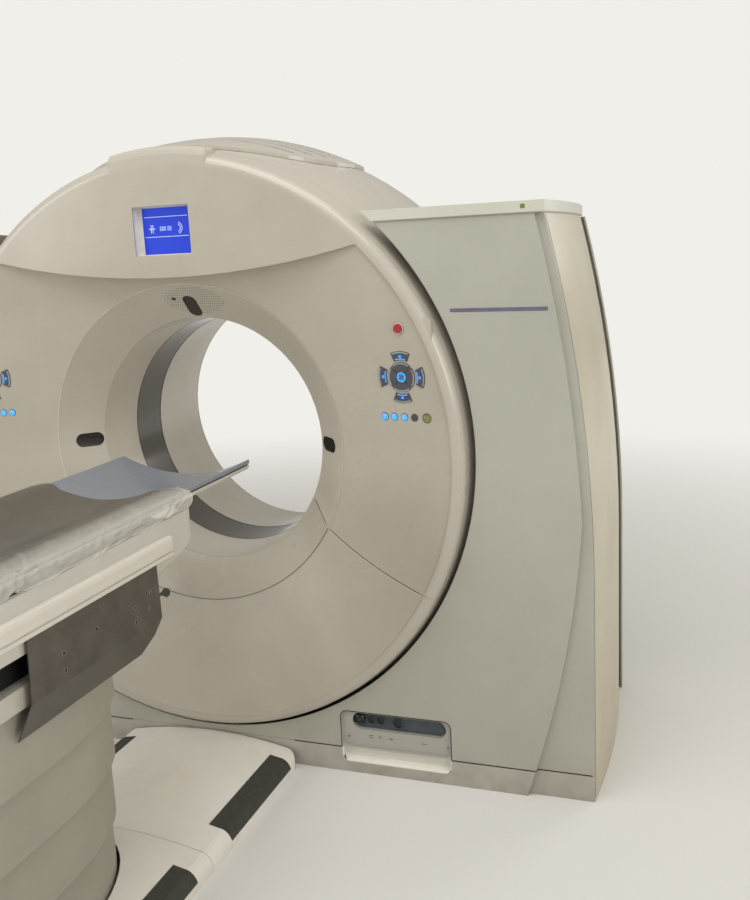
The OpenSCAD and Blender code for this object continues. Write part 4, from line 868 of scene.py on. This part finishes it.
# Mattress: a foam pad in taupe vinyl that lies in the table top's hollow and swells over
# its edges. It is thin at both ends.
HOLLOW_R = 0.509
HOLLOW_Z = top_high.z - 0.050 + HOLLOW_R
PAD_HEAD_Y, PAD_FOOT_Y = -0.814, -2.890
mattress_floor_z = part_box("mattress")[0][2]
PAD_ACROSS, PAD_ALONG = 22, 104
PAD_HALF, THIN_END = 0.2195, 0.07  # the pad's half width; how far its ends thin out


def catmull(knots, t):
    """A smooth curve through knots, for t from 0 to 1."""
    place = t * (len(knots) - 1)
    i = min(int(place), len(knots) - 2)
    f = place - i
    p0, p1 = knots[max(i - 1, 0)], knots[i]
    p2, p3 = knots[i + 1], knots[min(i + 2, len(knots) - 1)]
    return tuple(0.5 * (2 * b + (c - a) * f + (2 * a - 5 * b + 4 * c - d) * f * f
                        + (3 * b - a - 3 * c + d) * f ** 3)
                 for a, b, c, d in zip(p0, p1, p2, p3))


def pad_section(fill):
    """Half of the pad's section from its middle, as x and height, at a fill from 0 to 1."""
    thick = 0.006 + 0.028 * fill
    crown = [(x, HOLLOW_Z - math.sqrt((HOLLOW_R - thick) ** 2 - x ** 2))
             for x in (0.0, 0.06, 0.12, 0.165)]
    return crown + [(0.195, top_high.z + 0.004 + 0.012 * fill),
                    (0.2155, top_high.z + 0.002 + 0.010 * fill),
                    (0.2215, top_high.z + 0.001), (PAD_HALF, top_high.z + 0.0006)]


def pad_floor(x):
    """Height of the surface that the pad lies on."""
    return HOLLOW_Z - math.sqrt(HOLLOW_R ** 2 - x ** 2) + 0.0004


def skin(name, rows, closed):
    """A smooth piece through rows of points; closed rows are joined round and capped."""
    shell = bmesh.new()
    rows = [[shell.verts.new(point) for point in row] for row in rows]
    for a, b in zip(rows, rows[1:]):
        for k in range(len(a) if closed else len(a) - 1):
            n = (k + 1) % len(a)
            shell.faces.new((a[k], a[n], b[n], b[k]) if closed else (a[k], b[k], b[n], a[n]))
    if closed:
        shell.faces.new(rows[0])
        shell.faces.new(rows[-1])
        bmesh.ops.recalc_face_normals(shell, faces=shell.faces)
    mesh = bpy.data.meshes.new(name)
    shell.to_mesh(mesh)
    shell.free()
    for face in mesh.polygons:
        face.use_smooth = True
    thing = bpy.data.objects.new(name, mesh)
    scene.collection.objects.link(thing)
    return thing


pad_rows = []
for j in range(PAD_ALONG + 1):
    t = j / PAD_ALONG
    y = PAD_HEAD_Y + (PAD_FOOT_Y - PAD_HEAD_Y) * t
    from_end = min(PAD_HEAD_Y - y, y - PAD_FOOT_Y)
    fill = min(1.0, from_end / THIN_END) ** 0.6 if from_end > 0 else 0.0
    knots = pad_section(fill)
    half = [catmull(knots, i / PAD_ACROSS) for i in range(PAD_ACROSS + 1)]
    row = [(x, y, z + 0.0012 * fill * noise.noise(Vector((x * 9, y * 7, 3.1))))
           for x, z in [(-x, z) for x, z in reversed(half)] + half[1:]]
    for i in range(1, 2 * PAD_ACROSS):
        x = PAD_HALF * (1 - i / PAD_ACROSS)
        row.append((x, y, pad_floor(x)))
    pad_rows.append(row)
pad = skin("mattress_pad", pad_rows, closed=True)
vinyl = bare_material("calendered_vinyl_taupe")
vinyl_place, vinyl_tint = mottled(vinyl, "#625D53", "#554F46", 0.12)
vinyl_grain = add(vinyl, "TexVoronoi", {"Vector": vinyl_place, "Scale": 1 / 0.0022})
vinyl_bump = add(vinyl, "Bump", {"Height": vinyl_grain.outputs["Distance"], "Strength": 0.3,
                                 "Distance": 0.0003})
show(vinyl, add(vinyl, "BsdfPrincipled", {
    "Base Color": vinyl_tint, "Roughness": 0.45, "Coat Weight": 0.15,
    "Normal": vinyl_bump.outputs[0]}).outputs[0])
pad.data.materials.append(vinyl)
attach(pad, "sliding_top")
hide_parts("mattress")


# Cover sheet: clear polyethylene film laid over the pad and drawn over the table's edges.
# It is stiff and thin, so it breaks into sharp slanting folds along both sides, and its
# rolled hem hangs in short waves. It is laid out with its folds, then settles as cloth.
SHEET_HEAD_Y, SHEET_FOOT_Y = -0.8125, -2.893
SHEET_ACROSS, SHEET_ALONG = 84, 220
FLAT_HALF = 0.15  # where the flat middle of the sheet ends and its folded sides start
SECTION_STEPS = 400
over = pad_section(1.0)[:4]
sheet_knots = ([(x, z + 0.0016) for x, z in over]
               + [(0.192, top_high.z + 0.0195), (0.214, top_high.z + 0.0200),
                  (0.234, top_high.z + 0.0150), (0.246, top_high.z + 0.0030),
                  (0.2515, top_high.z - 0.0160), (0.2545, top_high.z - 0.0345)])
section = [catmull(sheet_knots, i / SECTION_STEPS) for i in range(SECTION_STEPS + 1)]
run = [0.0]
for a, b in zip(section, section[1:]):
    run.append(run[-1] + math.dist(a, b))
SHEET_HALF = run[-1]


def sheet_point(s):
    """The sheet's section at distance s from its middle: x and height, and the way in which
    its folds push it, up on top and inwards at the sides."""
    reach = min(abs(s), SHEET_HALF)
    i = next(k for k in range(1, SECTION_STEPS + 1) if run[k] >= reach - 1e-9)
    (x0, z0), (x1, z1) = section[i - 1], section[i]
    f = (reach - run[i - 1]) / (run[i] - run[i - 1])
    size = math.hypot(x1 - x0, z1 - z0)
    sign = 1 if s >= 0 else -1
    return (sign * (x0 + (x1 - x0) * f), z0 + (z1 - z0) * f,
            sign * (z1 - z0) / size, (x1 - x0) / size)


FOLD_HEIGHT, FOLD_SLANT = 0.0085, 0.32


def folds(s, y):
    """Height of the film's folds: ridges that run down the sides at a slant."""
    side = max(0.0, (abs(s) - FLAT_HALF) / (SHEET_HALF - FLAT_HALF))
    slant = FOLD_SLANT * y
    ridge = 0.0
    for scale, size, seed in ((17.0, 1.0, 1.7), (38.0, 0.45, 8.3), (80.0, 0.16, 4.9)):
        value = noise.noise(Vector(((abs(s) + slant) * scale, y * scale * 0.3,
                                    seed + (5 if s > 0 else 0))))
        ridge += size * (1 - min(1.0, abs(value) * 2.6)) ** 2
    calm = 0.0009 * noise.noise(Vector((s * 9, y * 6, 2.2)))
    return side ** 0.8 * FOLD_HEIGHT * ridge + calm


CORNER_R, CORNER_CUT, RAGGED, HEM_WIDE, HEM_WAVE = 0.060, 0.048, 0.004, 0.020, 0.010
sheet_rows = []
for j in range(SHEET_ALONG + 1):
    row = []
    for i in range(2 * SHEET_ACROSS + 1):
        s = SHEET_HALF * (i / SHEET_ACROSS - 1)
        corner = max(0.0, (abs(s) - (SHEET_HALF - CORNER_R)) / CORNER_R)
        cut = CORNER_CUT * (1 - math.sqrt(1 - corner * corner))
        ragged = RAGGED * noise.noise(Vector((s * 30, 7.7, 1.0)))
        head = SHEET_HEAD_Y - cut - max(0.0, ragged)
        foot = SHEET_FOOT_Y + cut
        y = head + (foot - head) * j / SHEET_ALONG
        x, z, nx, nz = sheet_point(s)
        lift = folds(s, y)
        from_end = min(SHEET_HEAD_Y - y, y - SHEET_FOOT_Y)
        thin = 1 - min(1.0, max(0.0, from_end) / THIN_END) ** 0.6
        drop = (0.027 if abs(x) < 0.19 else 0.012) * thin
        hem = max(0.0, (abs(s) - (SHEET_HALF - HEM_WIDE)) / HEM_WIDE)
        wave = HEM_WAVE * hem * noise.noise(Vector((y * 11, 1.3, 4 if s > 0 else 9)))
        row.append((x + nx * lift, y, max(z + nz * lift - drop + wave,
                                          mattress_floor_z + 0.0005)))
    sheet_rows.append(row)
sheet = skin("cover_sheet", sheet_rows, closed=False)
sheet_data = sheet.data
# The film settles as cloth over the pad and the table's edges, and grows by SLACK as it
# does, because it is a little too big for them. Its middle is held, from HELD_OUT inwards,
# and no point may move further than SETTLE_MOST.
SETTLE_FRAMES, SETTLE_MOST = 14, 0.011
SLACK, HELD_OUT, HELD_EASE = 1.025, 0.15, 0.06
edge_line = [(0.2195, top_high.z), (0.238, top_high.z - 0.004), (0.2515, top_high.z - 0.028),
             (0.2515, top_high.z - 0.070)]
edge_points, edge_faces = [], []
for side in (1, -1):
    for x, z in edge_line:
        for y in (SHEET_HEAD_Y + 0.05, SHEET_FOOT_Y - 0.05):
            edge_points.append((side * x, y, z))
    first = 8 * (side < 0)
    for k in range(3):
        corners = (first + 2 * k, first + 2 * k + 1, first + 2 * k + 3, first + 2 * k + 2)
        edge_faces.append(corners[::side])
edge_data = bpy.data.meshes.new("settle_edge")
edge_data.from_pydata(edge_points, [], edge_faces)
settle_edge = bpy.data.objects.new("settle_edge", edge_data)
scene.collection.objects.link(settle_edge)
for support in (pad, settle_edge):
    support.modifiers.new("support", "COLLISION")
    support.collision.thickness_outer = 0.001
    support.collision.cloth_friction = 20
held = sheet.vertex_groups.new(name="held")
for vertex in sheet_data.vertices:
    grip = max(0.0, min(1.0, (HELD_OUT - abs(vertex.co.x)) / HELD_EASE))
    held.add([vertex.index], grip, "REPLACE")
settle = sheet.modifiers.new("settle", "CLOTH")
settle.settings.quality = 6
settle.settings.mass = 0.05
settle.settings.tension_stiffness = settle.settings.compression_stiffness = 20
settle.settings.shear_stiffness = 8
settle.settings.bending_stiffness = 0.3
settle.settings.air_damping = 2
settle.settings.shrink_min = settle.settings.shrink_max = 1 - SLACK
settle.settings.vertex_group_mass = "held"
settle.collision_settings.distance_min = 0.0012
settle.collision_settings.use_self_collision = False
start = [vertex.co.copy() for vertex in sheet_data.vertices]
for frame_number in range(1, SETTLE_FRAMES + 1):
    scene.frame_set(frame_number)
settled = sheet.evaluated_get(bpy.context.evaluated_depsgraph_get()).data
rested = [vertex.co.copy() for vertex in settled.vertices]
sheet.modifiers.clear()
sheet.vertex_groups.clear()
pad.modifiers.clear()
bpy.data.objects.remove(settle_edge)
scene.frame_set(1)
for vertex, before, after in zip(sheet_data.vertices, start, rested):
    move = after - before
    if move.length > SETTLE_MOST:
        move *= SETTLE_MOST / move.length
    vertex.co = before + move
sheet_data.update()
film_clear = bare_material("clear_polyethylene_film")
film_where = add(film_clear, "TexCoord").outputs["Object"]
film_xyz = add(film_clear, "SeparateXYZ", {0: film_where})
film_side = add(film_clear, "Math", {0: film_xyz.outputs[0]}, operation="ABSOLUTE")
# Towards the sides the film grows whiter and less clear: partly the haze of its folded layers,
# partly painted sheen.
film_haze_and_sheen = add(film_clear, "MapRange", {"Value": film_side.outputs[0], "From Min": 0.17,
                                         "From Max": 0.245, "To Min": 0.10, "To Max": 0.72},
                interpolation_type="SMOOTHSTEP")
film_stretch = add(film_clear, "Mapping", {0: film_where, "Rotation": (0.27, 0.0, 0.0),
                                           "Scale": (1.0, 0.28, 1.3)})
film_creases = add(film_clear, "TexNoise", {"Vector": film_stretch.outputs[0],
                                            "Scale": 1 / 0.05, "Detail": 5.0, "Roughness": 0.5},
                   noise_type="RIDGED_MULTIFRACTAL")
# Along the ridges of the creases the film is made whiter and less clear: painted highlights.
film_crease_highlight = add(film_clear, "MapRange", {"Value": film_creases.outputs[0], "From Min": 0.45,
                                           "From Max": 0.95, "To Min": -0.22, "To Max": 0.40})
film_alpha = add(film_clear, "Math", {0: film_haze_and_sheen.outputs[0], 1: film_crease_highlight.outputs[0]},
                 operation="ADD", use_clamp=True)
film_bump = add(film_clear, "Bump", {"Height": film_creases.outputs[0], "Strength": 0.6,
                                     "Distance": 0.004})
show(film_clear, add(film_clear, "BsdfPrincipled", {
    "Base Color": linear("#EFECDF"), "Roughness": 0.12, "IOR": 1.5,
    "Alpha": film_alpha.outputs[0], "Normal": film_bump.outputs[0]}).outputs[0])
sheet_data.materials.append(film_clear)
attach(sheet, "sliding_top")
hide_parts("mattress")
